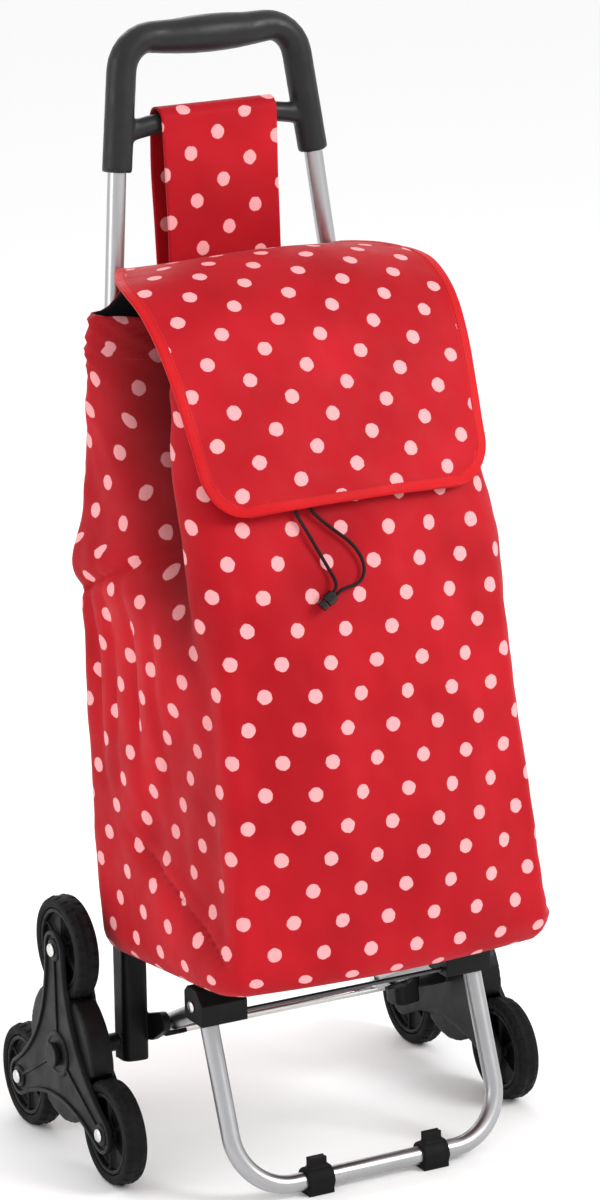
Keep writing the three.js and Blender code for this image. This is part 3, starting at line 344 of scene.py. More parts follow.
def bump(tree, shader, layers):
    """Chains (height socket, strength, distance) layers of bump into the shader."""
    previous = None
    for height, strength, distance in layers:
        node = tree.nodes.new("ShaderNodeBump")
        node.inputs["Strength"].default_value = strength
        node.inputs["Distance"].default_value = distance
        tree.links.new(height, node.inputs["Height"])
        if previous:
            tree.links.new(previous, node.inputs["Normal"])
        previous = node.outputs["Normal"]
    tree.links.new(previous, shader.inputs["Normal"])


def object_coordinates(tree):
    return tree.nodes.new("ShaderNodeTexCoord").outputs["Object"]


def cloth_uv(tree):
    return add_node(tree, "ShaderNodeUVMap", uv_map="cloth").outputs[0]


def wave_pair(tree, coordinates, pitch):
    """The over-and-under height of a plain weave with a pitch in metres."""
    separate = tree.nodes.new("ShaderNodeSeparateXYZ")
    tree.links.new(coordinates, separate.inputs[0])
    turn = 2 * math.pi / pitch
    warp = math_node(tree, "SINE", math_node(tree, "MULTIPLY", separate.outputs[0], turn))
    weft = math_node(tree, "SINE", math_node(tree, "MULTIPLY", separate.outputs[1], turn))
    return math_node(tree, "MULTIPLY", warp, weft)


RED = (0.400, 0.0032, 0.0105)
RED_DEEP = (0.325, 0.0020, 0.0070)
RED_LIGHT = (0.480, 0.0070, 0.0150)
DOT = (0.820, 0.340, 0.350)
# painted shade: the colour that the bag's cloth is multiplied towards in its deep gusset and sharp creases
FOLD_SHADE = (0.24, 0.12, 0.14)
DOT_RADIUS, DOT_EDGE = 0.0061, 0.0004
# The print's two steps from dot to dot, as (across, up) on the cloth of each piece
BAG_DOTS = ((-0.0253, -0.0296), (0.0176, -0.0257))
FLAP_DOTS = ((0.0326, -0.0190), (-0.0203, -0.0250))
STRAP_DOTS = ((0.0303, -0.0245), (-0.0267, -0.0159))
WEAVE_PITCH = 0.0011


def dot_mask(tree, coordinates, steps):
    """1 inside the dots of a lattice with the two steps given, 0 between them."""
    (ax, ay), (bx, by) = steps
    area = ax * by - ay * bx
    nearest = []
    for row in ((by / area, -bx / area, 0), (-ay / area, ax / area, 0)):
        cell = math_node(tree, "FRACT", math_node(tree, "ADD", dot_product(tree, coordinates, row), 0.5))
        nearest.append(math_node(tree, "SUBTRACT", cell, 0.5))
    across = product_sum(tree, (nearest[0], ax), (nearest[1], bx))
    up = product_sum(tree, (nearest[0], ay), (nearest[1], by))
    distance = math_node(tree, "SQRT", product_sum(tree, (across, across), (up, up)))
    wobble = map_range(tree, noise_node(tree, coordinates, 260), 0.3, 0.7, -DOT_EDGE, DOT_EDGE)
    metres = math_node(tree, "ADD", distance, wobble)
    return map_range(tree, metres, DOT_RADIUS - DOT_EDGE, DOT_RADIUS + DOT_EDGE, 1, 0, smooth=True)


def cloth_material(name, color, deep, light, dots=None, roughness=0.6):
    """Woven cloth with patches of tone, creases and a weave, and where asked dots and painted shade in deep
    pleats and creases.
    """
    material, tree, shader = base_material(name, color, roughness)
    uv = cloth_uv(tree)
    space = object_coordinates(tree)
    broad = noise_node(tree, space, 9, 2)
    fine = noise_node(tree, uv, 900, 2)
    tone = mix_color(tree, map_range(tree, broad, 0.35, 0.7, 0, 1), deep, light)
    tone = mix_color(tree, map_range(tree, fine, 0.3, 0.7, 0.0, 0.35), tone, color)
    if dots:
        tone = mix_color(tree, dot_mask(tree, uv, dots), tone, DOT)
        # painted shade: darkens the cloth towards FOLD_SHADE by a per-vertex mask that is strongest in the
        # gusset and creases
        fold_painted_shade = add_node(tree, "ShaderNodeAttribute", attribute_name="fold_painted_shade").outputs["Fac"]
        tone = mix_color(tree, fold_painted_shade, tone, mix_color(tree, 1.0, tone, FOLD_SHADE, "MULTIPLY"))
    tree.links.new(tone, shader.inputs["Base Color"])
    rough = map_range(tree, noise_node(tree, space, 40, 3), 0.3, 0.7, roughness - 0.07, roughness + 0.08)
    tree.links.new(rough, shader.inputs["Roughness"])
    shader.inputs["Sheen Weight"].default_value = 0.03
    shader.inputs["Sheen Roughness"].default_value = 0.4
    shader.inputs["Specular IOR Level"].default_value = 0.12
    crinkle = noise_node(tree, space, 55, 4, 0.6)
    creases = noise_node(tree, space, 17, 2, 0.5)
    weave = wave_pair(tree, uv, WEAVE_PITCH)
    bump(tree, shader, [(creases, 0.3, 0.004), (crinkle, 0.3, 0.0014), (weave, 0.3, 0.00014)])
    return material


def moulded_material(name, color, roughness, grain=900, grain_depth=0.00008, gloss=0.25):
    """Moulded plastic or rubber: worn patches, a fine grain and uneven roughness."""
    material, tree, shader = base_material(name, color, roughness)
    space = object_coordinates(tree)
    light = tuple(min(1, 2.2 * c + 0.006) for c in color)
    patches = noise_node(tree, space, 28, 4, 0.6)
    tone = mix_color(tree, map_range(tree, patches, 0.42, 0.78, 0, 0.35), color, light)
    tree.links.new(tone, shader.inputs["Base Color"])
    rough = map_range(tree, noise_node(tree, space, 60, 4), 0.3, 0.75, roughness - 0.1, roughness + 0.12)
    tree.links.new(rough, shader.inputs["Roughness"])
    shader.inputs["Specular IOR Level"].default_value = gloss
    bump(tree, shader, [(patches, 0.08, 0.0006), (noise_node(tree, space, grain, 3), 0.35, grain_depth)])
    return material


def metal_material(name, color, roughness, streaks):
    """Plated steel; streaks stretches its fine drawing marks along X, Y or Z."""
    material, tree, shader = base_material(name, color, roughness, 1.0)
    space = object_coordinates(tree)
    mapping = add_node(tree, "ShaderNodeMapping")
    mapping.inputs["Scale"].default_value = streaks
    tree.links.new(space, mapping.inputs["Vector"])
    drawn = noise_node(tree, mapping.outputs[0], 60, 4, 0.65)
    cloud = noise_node(tree, space, 14, 3)
    dull = tuple(0.82 * c for c in color)
    tone = mix_color(tree, map_range(tree, cloud, 0.35, 0.7, 0, 0.6), color, dull)
    tree.links.new(tone, shader.inputs["Base Color"])
    rough = map_range(tree, drawn, 0.3, 0.72, roughness - 0.06, roughness + 0.1)
    tree.links.new(rough, shader.inputs["Roughness"])
    bump(tree, shader, [(drawn, 0.1, 0.00006), (noise_node(tree, space, 350, 2), 0.05, 0.00005)])
    return material


DOTTED = cloth_material("dotted_cloth", RED, RED_DEEP, RED_LIGHT, dots=BAG_DOTS)
FLAP_CLOTH = cloth_material("flap_dotted_cloth", RED, RED_DEEP, RED_LIGHT, dots=FLAP_DOTS)
STRAP_CLOTH = cloth_material("strap_dotted_cloth", RED, RED_DEEP, RED_LIGHT, dots=STRAP_DOTS)
THREAD = cloth_material(
    "red_thread", (0.50, 0.012, 0.016), (0.40, 0.01, 0.012), (0.62, 0.03, 0.03), roughness=0.5
)
BINDING = cloth_material(
    "binding_tape", (0.50, 0.0045, 0.0090), (0.43, 0.003, 0.006), (0.56, 0.008, 0.012), roughness=0.5
)
LINING = cloth_material("lining", (0.012, 0.011, 0.012), (0.008, 0.008, 0.009), (0.02, 0.018, 0.018))
WEBBING = cloth_material(
    "webbing", (0.014, 0.014, 0.015), (0.01, 0.01, 0.01), (0.024, 0.024, 0.024), roughness=0.7
)
CORD = cloth_material(
    "cord", (0.016, 0.006, 0.007), (0.01, 0.004, 0.004), (0.03, 0.012, 0.012), roughness=0.65
)
BLACK = moulded_material("black_plastic", (0.0065, 0.0065, 0.007), 0.40, gloss=0.13)
GRIP = moulded_material("grip_plastic", (0.010, 0.010, 0.011), 0.42, 1300, 0.00012, gloss=0.26)
RIM = moulded_material("rim_plastic", (0.0055, 0.0055, 0.006), 0.42, gloss=0.12)
RUBBER = moulded_material("tyre_rubber", (0.007, 0.007, 0.0075), 0.62, 700, 0.00015, gloss=0.08)
GLOSS = moulded_material("lock_plastic", (0.006, 0.005, 0.005), 0.28, gloss=0.3)
TUBE = metal_material("plated_tube", (0.47, 0.47, 0.48), 0.3, (1, 1, 0.03))
LEG_TUBE = metal_material("leg_tube", (0.43, 0.43, 0.44), 0.3, (0.2, 0.2, 0.2))
ZINC = metal_material("zinc", (0.74, 0.74, 0.72), 0.24, (0.05, 1, 1))
WIRE = metal_material("dark_wire", (0.10, 0.10, 0.11), 0.4, (0.03, 1, 1))
BOARD = moulded_material("board", (0.05, 0.038, 0.03), 0.8, 500, 0.0002)


# --- stand-ins for CAD nodes
BODY_OF = {node: body for body, nodes in frame["record"]["behaviour"]["bodies"].items() for node in nodes}


def stand_in(name, vertices, faces, node, material, uvs=None, sharp_deg=40):
    """A detailed piece in the place of a CAD node, on its body and with its finish."""
    piece = new_piece(name, vertices, faces, BODY_OF[node], material, uvs, sharp_deg)
    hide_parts(node)
    return piece


def add_solids(work, solids):
    for vertices, faces in solids:
        made = [work.verts.new(v) for v in vertices]
        for face in faces:
            work.faces.new([made[k] for k in face])


def softened(node, voxel, material, rounds, extra=()):
    """A CAD node's shape remeshed and relaxed, so that its edges have a moulding's small radii.

    extra holds solids that are joined to it, as vertices and faces."""
    piece = bpy.data.objects.new(f"{node}_moulded", NODES[node].data.copy())
    bpy.context.scene.collection.objects.link(piece)
    if extra:
        edit_mesh(piece, lambda work: add_solids(work, extra))
    remesh = piece.modifiers.new("remesh", "REMESH")
    remesh.mode = "VOXEL"
    remesh.voxel_size = voxel
    relax = piece.modifiers.new("relax", "SMOOTH")
    relax.factor = 0.5
    relax.iterations = rounds
    apply_modifiers(piece)
    piece.data.materials.clear()
    piece.data.materials.append(material)
    piece.data.polygons.foreach_set("use_smooth", [True] * len(piece.data.polygons))
    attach(piece, BODY_OF[node])
    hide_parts(node)
    return piece


def make_lock():
    """The spring lock on the drawcord: a barrel and its button."""
    return [softened(node, 0.00035, GLOSS, rounds=3) for node in ("lock_body", "lock_plunger")]


# --- drawcord
CORD_RADIUS = 0.0015
# Each end of the drawcord from its eyelet to its tip: x, then y and height from the axle's middle
CORD_ROUTES = {
    "left": [
        (-0.0620, -0.1575, 0.5385),
        (-0.0620, -0.1620, 0.5385),
        (-0.0620, -0.1660, 0.5375),
        (-0.0618, -0.1694, 0.5345),
        (-0.0615, -0.1718, 0.5305),
        (-0.0610, -0.1734, 0.5250),
        (-0.0600, -0.1752, 0.5175),
        (-0.0580, -0.1780, 0.5085),
        (-0.0543, -0.1820, 0.4965),
        (-0.0485, -0.1872, 0.4835),
        (-0.0428, -0.1916, 0.4705),
        (-0.0380, -0.1954, 0.4595),
        (-0.0348, -0.1984, 0.4520),
        (-0.0328, -0.2014, 0.4465),
        (-0.0324, -0.2040, 0.4425),
        (-0.0338, -0.2064, 0.4393),
        (-0.0362, -0.2080, 0.4372),
        (-0.0390, -0.2083, 0.4352),
        (-0.0420, -0.2083, 0.4330),
    ],
    "right": [
        (-0.0460, -0.1590, 0.5385),
        (-0.0460, -0.1635, 0.5385),
        (-0.0460, -0.1675, 0.5375),
        (-0.0460, -0.1710, 0.5345),
        (-0.0460, -0.1732, 0.5300),
        (-0.0460, -0.1750, 0.5235),
        (-0.0457, -0.1770, 0.5155),
        (-0.0443, -0.1800, 0.5065),
        (-0.0395, -0.1832, 0.4975),
        (-0.0310, -0.1870, 0.4885),
        (-0.0225, -0.1900, 0.4810),
        (-0.0145, -0.1924, 0.4740),
        (-0.0080, -0.1950, 0.4660),
        (-0.0040, -0.1975, 0.4575),
        (-0.0034, -0.2000, 0.4490),
        (-0.0074, -0.2025, 0.4419),
        (-0.0145, -0.2042, 0.4385),
        (-0.0225, -0.2058, 0.4378),
        (-0.0295, -0.2076, 0.4367),
        (-0.0353, -0.2083, 0.4329),
        (-0.0394, -0.2083, 0.4297),
    ],
}


def make_cords():
    """The two ends of the drawcord, which the spring lock holds together."""
    cords = []
    for name, _ in SIDES:
        points = [Vector((x, y + AXLE_Y, z + AXLE_Z)) for x, y, z in CORD_ROUTES[name]]
        route = smooth_route(points, 90)
        piece = tube_piece(f"cord_{name}", route, CORD_RADIUS, "frame", CORD, sides=12)
        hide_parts(f"drawcord_{name}")
        cords.append(piece)
    return cords


lock_pieces = make_lock()
cords = make_cords()


# --- bag
LEAN = 0.0743
# Height, half width at the back and the front, and the front's distance ahead of the axle
BAG_SHAPE = np.array([
    (0.213, 0.166, 0.163, 0.250),
    (0.300, 0.170, 0.159, 0.245),
    (0.400, 0.169, 0.153, 0.230),
    (0.500, 0.165, 0.149, 0.209),
    (0.580, 0.158, 0.141, 0.186),
    (0.640, 0.152, 0.134, 0.161),
    (0.695, 0.146, 0.126, 0.128),
    (0.730, 0.140, 0.118, 0.106),
    (0.760, 0.126, 0.110, 0.100),
])
BAG_TOP = 0.734
BAG_BOTTOM = 0.213
BASE_TILT = 0.083  # the rise of the base towards the front, per metre
LEVEL_Y = 0.12  # how far ahead of the axle a tilted row has its own height
BACK_GAP = 0.0145  # from the uprights' centre line to the back's cloth
CLOSEST = 0.0115  # the least that gap may be where the cloth is wrinkled
BACK_RISE = 0.030  # how much higher the middle of the back reaches, up to the flap
BACK_CORNER = 0.014
FRONT_CORNER = ((0.22, 0.45, 0.74), (0.024, 0.030, 0.034))  # heights, and the radii there
FRONT_CROWN = 0.014
CLOTH_THICKNESS = 0.0012
GATHER_DEPTH, GATHER_PITCH = 0.0022, 0.021
ROWS = 112
BACK_COLUMNS, SIDE_COLUMNS, FRONT_COLUMNS = 36, 60, 76
# The gusset's deepest line, as (heights, y from the axle), and its spread behind that line by height
GUSSET_LINE = ((0.42, 0.50, 0.60, 0.69, 0.75), (-0.172, -0.146, -0.104, -0.062, -0.044))
GUSSET_BEHIND = ((0.45, 0.6, 0.74), (0.024, 0.036, 0.040))
GUSSET_AHEAD = 0.015
GUSSET_DEPTH, GUSSET_FOOT, GUSSET_FULL = 0.060, 0.43, 0.66
# Folds of the sides: lines as two (y, z) points, and folds as (width, depth)
BULGE_MIDDLE, BULGE_SPREAD, BULGE_DEPTH = (-0.02, 0.527), (0.07, 0.030), 0.014
SLANT_LINE, SLANT_FOLD = ((0.02, 0.497), (-0.120, 0.560)), (0.006, 0.013)
UPRIGHT_FOLDS = ((-0.014, 0.009), (-0.040, 0.007), (-0.075, 0.010), (-0.112, 0.007))  # y, depth
UPRIGHT_Z, UPRIGHT_SPREAD, UPRIGHT_WIDTH, UPRIGHT_SLOPE = 0.44, 0.075, 0.009, 0.15
TUCK_LINE, TUCK_FOLD = ((-0.075, 0.300), (-0.243, 0.222)), (0.007, 0.012)
TUCK_STEP, TUCK_STEP_WIDTH = 0.010, 0.02


def shape_at(z, column):
    return np.interp(z, BAG_SHAPE[:, 0], BAG_SHAPE[:, column])


def eased(value, low, high):
    """0 below low, 1 above high, and smooth between them."""
    t = np.clip((value - low) / (high - low), 0, 1)
    return t * t * (3 - 2 * t)


def bell(value, middle_value, spread):
    return np.exp(-(((value - middle_value) / spread) ** 2))


def half_outline(z):
    """Half of the bag's outline at a height, as its back, its side and its face."""
    back = LEAN * (z - AXLE_Z) - BACK_GAP
    wide, narrow, front = shape_at(z, 1), shape_at(z, 2), -shape_at(z, 3)
    corner = float(np.interp(z, *FRONT_CORNER))
    half_back, arc = BACK_COLUMNS // 2, 6
    outline = [((wide - BACK_CORNER) * i / half_back, back) for i in range(half_back)]
    side = []
    for k in range(arc + 1):
        a = math.pi / 2 * k / arc
        side.append((wide - BACK_CORNER * (1 - math.sin(a)), back - BACK_CORNER * (1 - math.cos(a))))
    side.append((narrow, front + FRONT_CROWN + corner))
    arc = 8
    for k in range(1, arc + 1):
        a = math.pi / 2 * k / arc
        side.append((narrow - corner * (1 - math.cos(a)), front + FRONT_CROWN + corner * (1 - math.sin(a))))
    flat = narrow - corner
    places = [flat * (1 - k / arc) for k in range(1, arc + 1)]
    return outline, side, [(x, front + FRONT_CROWN * (x / flat) ** 2) for x in places]


def resample(points, count):
    p = np.array(points)
    s = np.concatenate(([0], np.cumsum(np.linalg.norm(np.diff(p, axis=0), axis=1))))
    t = np.linspace(0, s[-1], count)
    return np.stack([np.interp(t, s, p[:, 0]), np.interp(t, s, p[:, 1])], 1)


def ring_at(z):
    """The whole outline at a height, anticlockwise from the middle of the back, as an array of (x, y)."""
    outline, side, face = half_outline(z)
    half = np.concatenate([
        np.array(outline),
        resample([*side, face[0]], SIDE_COLUMNS + 1)[:-1],
        resample(face, FRONT_COLUMNS // 2),
    ])
    mirrored = half[1:-1][::-1] * np.array([-1, 1])
    return np.concatenate([half, mirrored])


def gusset(y, z):
    """How far the drawstring draws the sides in: a deep pleat behind each front edge."""
    line = np.interp(z, *GUSSET_LINE)
    width = np.where(y > line, np.interp(z, *GUSSET_BEHIND), GUSSET_AHEAD)
    return GUSSET_DEPTH * eased(z, GUSSET_FOOT, GUSSET_FULL) * bell(y, line, width)


def crease(distance, width, depth):
    """A sharp valley along a line, as an outward displacement."""
    return -depth * np.exp(-np.abs(distance) / width)


def line_distance(y, z, first, second):
    """Signed distance from a line in the Y-Z plane, and how far along it, 0 to 1."""
    d = np.array(second) - np.array(first)
    size = np.hypot(*d)
    along = ((y - first[0]) * d[0] + (z - first[1]) * d[1]) / size**2
    across = ((z - first[1]) * d[0] - (y - first[0]) * d[1]) / size
    return across, along


def fold_offset(y, z, side_share):
    """Outward displacement of the cloth, in metres, from its listed folds."""
    # the cloth that hangs from the top bulges over the fuller lower part
    bulge = bell(z, BULGE_MIDDLE[1], BULGE_SPREAD[1]) * bell(y, BULGE_MIDDLE[0], BULGE_SPREAD[0])
    total = BULGE_DEPTH * bulge
    # a slanting crease under that bulge, rising towards the front
    across, along = line_distance(y, z, *SLANT_LINE)
    total += crease(across, *SLANT_FOLD) * eased(along, -0.1, 0.15) * (1 - eased(along, 0.9, 1.15))
    # loose upright folds below it
    for place, depth in UPRIGHT_FOLDS:
        distance = y - place - UPRIGHT_SLOPE * (z - UPRIGHT_Z)
        total += crease(distance, UPRIGHT_WIDTH, depth) * bell(z, UPRIGHT_Z, UPRIGHT_SPREAD)
    # the tucked corner at the bottom
    across, along = line_distance(y, z, *TUCK_LINE)
    tuck = crease(across, *TUCK_FOLD) - TUCK_STEP * eased(-across, 0.0, TUCK_STEP_WIDTH)
    return (total + tuck * eased(along, -0.15, 0.15)) * side_share


def wrinkles(z, s):
    """Broad sagging folds, long folds and small puckers from smooth noise; s is the place round the bag."""
    out = np.zeros_like(z)
    for k, (up, round_place) in enumerate(zip(z, s)):
        broad = noise.noise(Vector((round_place * 9, up * 4.5, 3.1)))
        long = noise.noise(Vector((round_place * 30 + up * 6, up * 7, 9.7)))
        small = noise.noise(Vector((round_place * 55, up * 40, 21.3)))
        out[k] = 0.0065 * broad + 0.0034 * long + 0.0011 * small
    return out


def outward_normals(ring):
    tangent = np.roll(ring, -1, axis=0) - np.roll(ring, 1, axis=0)
    tangent /= np.linalg.norm(tangent, axis=1, keepdims=True)
    normal = np.stack([tangent[:, 1], -tangent[:, 0]], 1)
    return normal if (normal[:, 0] * ring[:, 0]).sum() >= 0 else -normal


def bag_row(t):
    """Positions, UVs and painted shade of one row of the bag's wall, at a share of its height; the shade is
    strongest deep in the gusset and along sharp creases.
    """
    z_mean = BAG_BOTTOM + (BAG_TOP - BAG_BOTTOM) * t
    ring = ring_at(z_mean)
    x, y = ring[:, 0], ring[:, 1]
    steps = np.linalg.norm(ring - np.roll(ring, 1, axis=0), axis=1)
    s = np.cumsum(steps) - steps[0]
    normal = outward_normals(ring)
    behind = eased(normal[:, 1], 0.6, 0.95) * (1 - eased(np.abs(x), 0.085, 0.125))
    z = z_mean - BASE_TILT * (1 - t) * (y + LEVEL_Y) + BACK_RISE * eased(t, 0.86, 1.0) * behind
    side_share = np.clip(np.abs(normal[:, 0]), 0, 1) ** 2
    back_share = eased(normal[:, 1], 0.5, 0.9)
    gusset_share = eased(np.abs(x), 0.05, 0.10) * (1 - back_share)
    folds = fold_offset(y, z, side_share)
    free = eased(t, 0.0, 0.12) * (1 - 0.85 * back_share)
    gathers = GATHER_DEPTH * np.sin(2 * math.pi * s / GATHER_PITCH) * eased(z_mean, 0.66, 0.735)
    offset = wrinkles(z, s) * free + folds + gathers * (1 - back_share)
    px = x + normal[:, 0] * offset - np.sign(x) * gusset(y, z) * gusset_share
    py = np.minimum(y + normal[:, 1] * offset, LEAN * (z - AXLE_Z) - CLOSEST)
    length = np.concatenate(([0], np.cumsum(np.hypot(np.diff(px), np.diff(py)))))
    length -= length[len(length) // 2]
    # painted shade: a mask from the gusset's depth and the creases' depth, for darkening the cloth there
    deep = np.clip(gusset(y, z) / 0.05, 0, 1) ** 0.5 * gusset_share
    crease_painted_shade = np.clip(-folds / 0.012 - 0.45, 0, 1) * 0.6
    place = np.stack([px, py + AXLE_Y, z], 1)
    return place, np.stack([length, np.full_like(s, z_mean)], 1), np.maximum(deep, crease_painted_shade)


def floor_ring(low, share, drop):
    """The wall's lowest row drawn in to a share of its size, and lowered."""
    middle_y = (low[:, 1].min() + low[:, 1].max()) / 2
    ring = low.copy()
    ring[:, 0] *= share
    ring[:, 1] = middle_y + (low[:, 1] - middle_y) * share
    ring[:, 2] = BAG_BOTTOM - BASE_TILT * (ring[:, 1] - AXLE_Y + LEVEL_Y) - drop
    return ring


def bag_wall_and_base():
    """Rows of (positions, UVs, painted shade) from the middle of the floor, round its edge and up the wall.
    """
    rows = [bag_row(j / (ROWS - 1)) for j in range(ROWS)]
    low, low_uv, _ = rows[0]
    shade = np.zeros(len(low))
    floor, edge = [], []
    for share in (0.02, 0.3, 0.6, 0.85):
        ring = floor_ring(low, 0.94 * share, 0.021)
        floor.append((ring, np.stack([ring[:, 0] + 2, ring[:, 1]], 1), shade))
    for share, drop in ((0.94, 0.019), (0.97, 0.014), (0.99, 0.007)):
        uv = low_uv.copy()
        uv[:, 1] -= drop + (1 - share) * 0.2
        edge.append((floor_ring(low, share, drop), uv, shade))
    return floor + edge + rows


def make_bag():
    """The bag as one lofted shell, with its cloth outside and its lining inside."""
    rows = bag_wall_and_base()
    vertices = np.concatenate([r[0] for r in rows])
    uvs = np.concatenate([r[1] for r in rows])
    columns = len(rows[0][0])
    faces = grid_faces(len(rows), columns, closed=True, flip=True)
    faces.append(list(range(columns)))
    piece = new_piece("bag", vertices, faces, "frame", [DOTTED, LINING], uvs)
    back_panel_uv(piece, vertices, columns)
    # the painted shade mask, stored per vertex for the cloth's material
    fold_painted_shade = piece.data.attributes.new("fold_painted_shade", "FLOAT", "POINT")
    fold_painted_shade.data.foreach_set("value", np.concatenate([r[2] for r in rows]).astype(np.float32))
    thicken(piece, CLOTH_THICKNESS, 1)
    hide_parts("bag_front", "bag_back", "bag_side_left", "bag_side_right", "bag_bottom")
    return piece, rows


def back_panel_uv(piece, vertices, columns):
    """Maps the back panel straight from its own place, so that its print runs square between its seams."""
    layer = piece.data.uv_layers["cloth"].data
    half = BACK_COLUMNS // 2
    for face in piece.data.polygons:
        beside = any(half < v % columns < columns - half for v in face.vertices)
        if len(face.vertices) > 4 or beside:
            continue
        for loop, vertex in zip(face.loop_indices, face.vertices):
            layer[loop].uv = (5 - vertices[vertex][0], vertices[vertex][2])


def thicken(piece, thickness, inner_offset, rim_offset=0):
    """Gives a sheet its thickness, inwards; the offsets pick the materials of its inside and its rim."""
    solid = piece.modifiers.new("cloth", "SOLIDIFY")
    solid.thickness = thickness
    solid.offset = -1
    solid.use_even_offset = False
    solid.material_offset = inner_offset
    solid.material_offset_rim = rim_offset
    apply_modifiers(piece)


bag, bag_rows = make_bag()


STITCH_PITCH, STITCH_LENGTH, THREAD_RADIUS = 0.0034, 0.0026, 0.00028
STITCH_SIDES = 6


def stitches(name, points, normals, body):
    """A row of short thread stitches, as capsules lying on a surface along a line of points."""
    even = even_route(points, max(2, int(route_length(points) / STITCH_PITCH)))
    near = np.array([tuple(p) for p in points])
    vertices, faces, uvs = [], [], []
    spokes = [2 * math.pi * k / STITCH_SIDES for k in range(STITCH_SIDES)]
    for a, b in zip(even, even[1:]):
        centre = (a + b) / 2
        normal = Vector(normals[int(np.argmin(((near - np.array(centre)) ** 2).sum(1)))])
        along = (b - a).normalized()
        across = along.cross(normal).normalized()
        start = len(vertices)
        # four rings: (share of the length, share of the radius, rise off the cloth in radii)
        for share, size, rise in ((-0.5, 0.35, 0.1), (-0.38, 1, 0.9), (0.38, 1, 0.9), (0.5, 0.35, 0.1)):
            ring_centre = centre + along * (share * STITCH_LENGTH) + normal * (THREAD_RADIUS * rise)
            for angle in spokes:
                spoke = across * math.cos(angle) + normal * math.sin(angle)
                vertices.append(ring_centre + spoke * (THREAD_RADIUS * size))
                uvs.append((share * STITCH_LENGTH, THREAD_RADIUS * angle))
        rings = grid_faces(4, STITCH_SIDES, closed=True)
        ends = [list(range(STITCH_SIDES))[::-1], [3 * STITCH_SIDES + k for k in range(STITCH_SIDES)]]
        faces += [[start + v for v in face] for face in rings + ends]
    return new_piece(name, vertices, faces, body, THREAD, uvs)


def bag_stitches(wall):
    """Two rows round the mouth, where the hem holds the drawcord, and one above the floor's seam."""
    seams = {"hem_stitches_upper": ROWS - 3, "hem_stitches_lower": ROWS - 8, "floor_stitches": 3}
    out = []
    for name, row in seams.items():
        line = wall[row][0]
        ahead = np.roll(line, -1, axis=0) - np.roll(line, 1, axis=0)
        normals = np.stack([ahead[:, 1], -ahead[:, 0], np.zeros(len(line))], 1)
        normals /= np.linalg.norm(normals, axis=1, keepdims=True)
        closed = [Vector(p) for p in line] + [Vector(line[0])]
        out.append(stitches(name, closed, [*normals, normals[0]], "frame"))
    return out


bag_seams = bag_stitches(bag_rows[-ROWS:])


# --- flap
# The flap's middle line from its rear edge to its front: y from the axle, and height
FLAP_PROFILE = [
    (0.036, 0.7670),
    (0.020, 0.7720),
    (-0.005, 0.7780),
    (-0.032, 0.7810),
    (-0.062, 0.7770),
    (-0.092, 0.7630),
    (-0.117, 0.7400),
    (-0.139, 0.7080),
    (-0.157, 0.6730),
    (-0.173, 0.6400),
    (-0.184, 0.6160),
    (-0.191, 0.6000),
]
FLAP_HINGE_HALF = 0.108
FLAP_WIDEST_HALF = 0.146
FLAP_END_HALF = 0.133
FLAP_WIDEST_AT = 0.110
FLAP_CORNER = 0.040
FLAP_CROWN = 0.012
FLAP_THICKNESS = 0.0022
FLAP_ROWS, FLAP_COLUMNS = 120, 121
BINDING_WIDTH, BINDING_HEIGHT = 0.0095, 0.0007


def flap_outline_half(along, total):
    """Half the flap's width at a distance from its rear edge."""
    if along < FLAP_WIDEST_AT:
        rise = math.sin(math.pi / 2 * along / FLAP_WIDEST_AT)
        side = FLAP_HINGE_HALF + (FLAP_WIDEST_HALF - FLAP_HINGE_HALF) * rise
    else:
        fall = float(eased(along, FLAP_WIDEST_AT, total))
        side = FLAP_WIDEST_HALF + (FLAP_END_HALF - FLAP_WIDEST_HALF) * fall
    past = max(0.0, FLAP_CORNER - (total - along))
    return side - (FLAP_CORNER - math.sqrt(max(FLAP_CORNER**2 - past**2, 0))) * 0.92


def flap_normal(tangent, rear):
    """Upwards on the rear half of the flap's line, and forwards on its front half."""
    normal = Vector((0, tangent.z, -tangent.y))
    wrong = normal.z < 0 if rear else normal.y > 0
    return -normal if wrong else normal


def flap_lift(x, across, along):
    """How far the cloth stands off its middle line's level: a crown, and waves away from the rear edge."""
    wave = noise.noise(Vector((x * 11, along * 9, 4.4))) * 0.0032
    wave += noise.noise(Vector((x * 34, along * 26, 7.7))) * 0.0009
    return (wave - FLAP_CROWN * across * across) * min(1, along / 0.06) - 0.0006


def make_flap():
    route = smooth_route([(0, y + AXLE_Y, z) for y, z in FLAP_PROFILE], FLAP_ROWS)
    total = route_length(route)
    vertices, uvs, flat = [], [], []
    for j, point in enumerate(route):
        tangent = (route[min(j + 1, FLAP_ROWS - 1)] - route[max(j - 1, 0)]).normalized()
        normal = flap_normal(tangent, j < FLAP_ROWS / 2)
        along = total * j / (FLAP_ROWS - 1)
        half = flap_outline_half(along, total)
        for i in range(FLAP_COLUMNS):
            across = 2 * i / (FLAP_COLUMNS - 1) - 1
            x = across * half
            vertices.append(Vector((x, point.y, point.z)) + normal * flap_lift(x, across, along))
            uvs.append((x + 1.0, 1.0 - along))
            flat.append((x, along))
    faces = grid_faces(FLAP_ROWS, FLAP_COLUMNS, flip=True)
    cloths = [FLAP_CLOTH, LINING, BINDING]
    piece = new_piece("flap_cloth", vertices, faces, "flap", cloths, uvs)
    bind_edges(piece, edge_distance(np.array(flat), total))
    seam = flap_stitches(piece, np.array(flat), total)
    thicken(piece, FLAP_THICKNESS, 1, 2)
    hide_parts("flap")
    return piece, seam


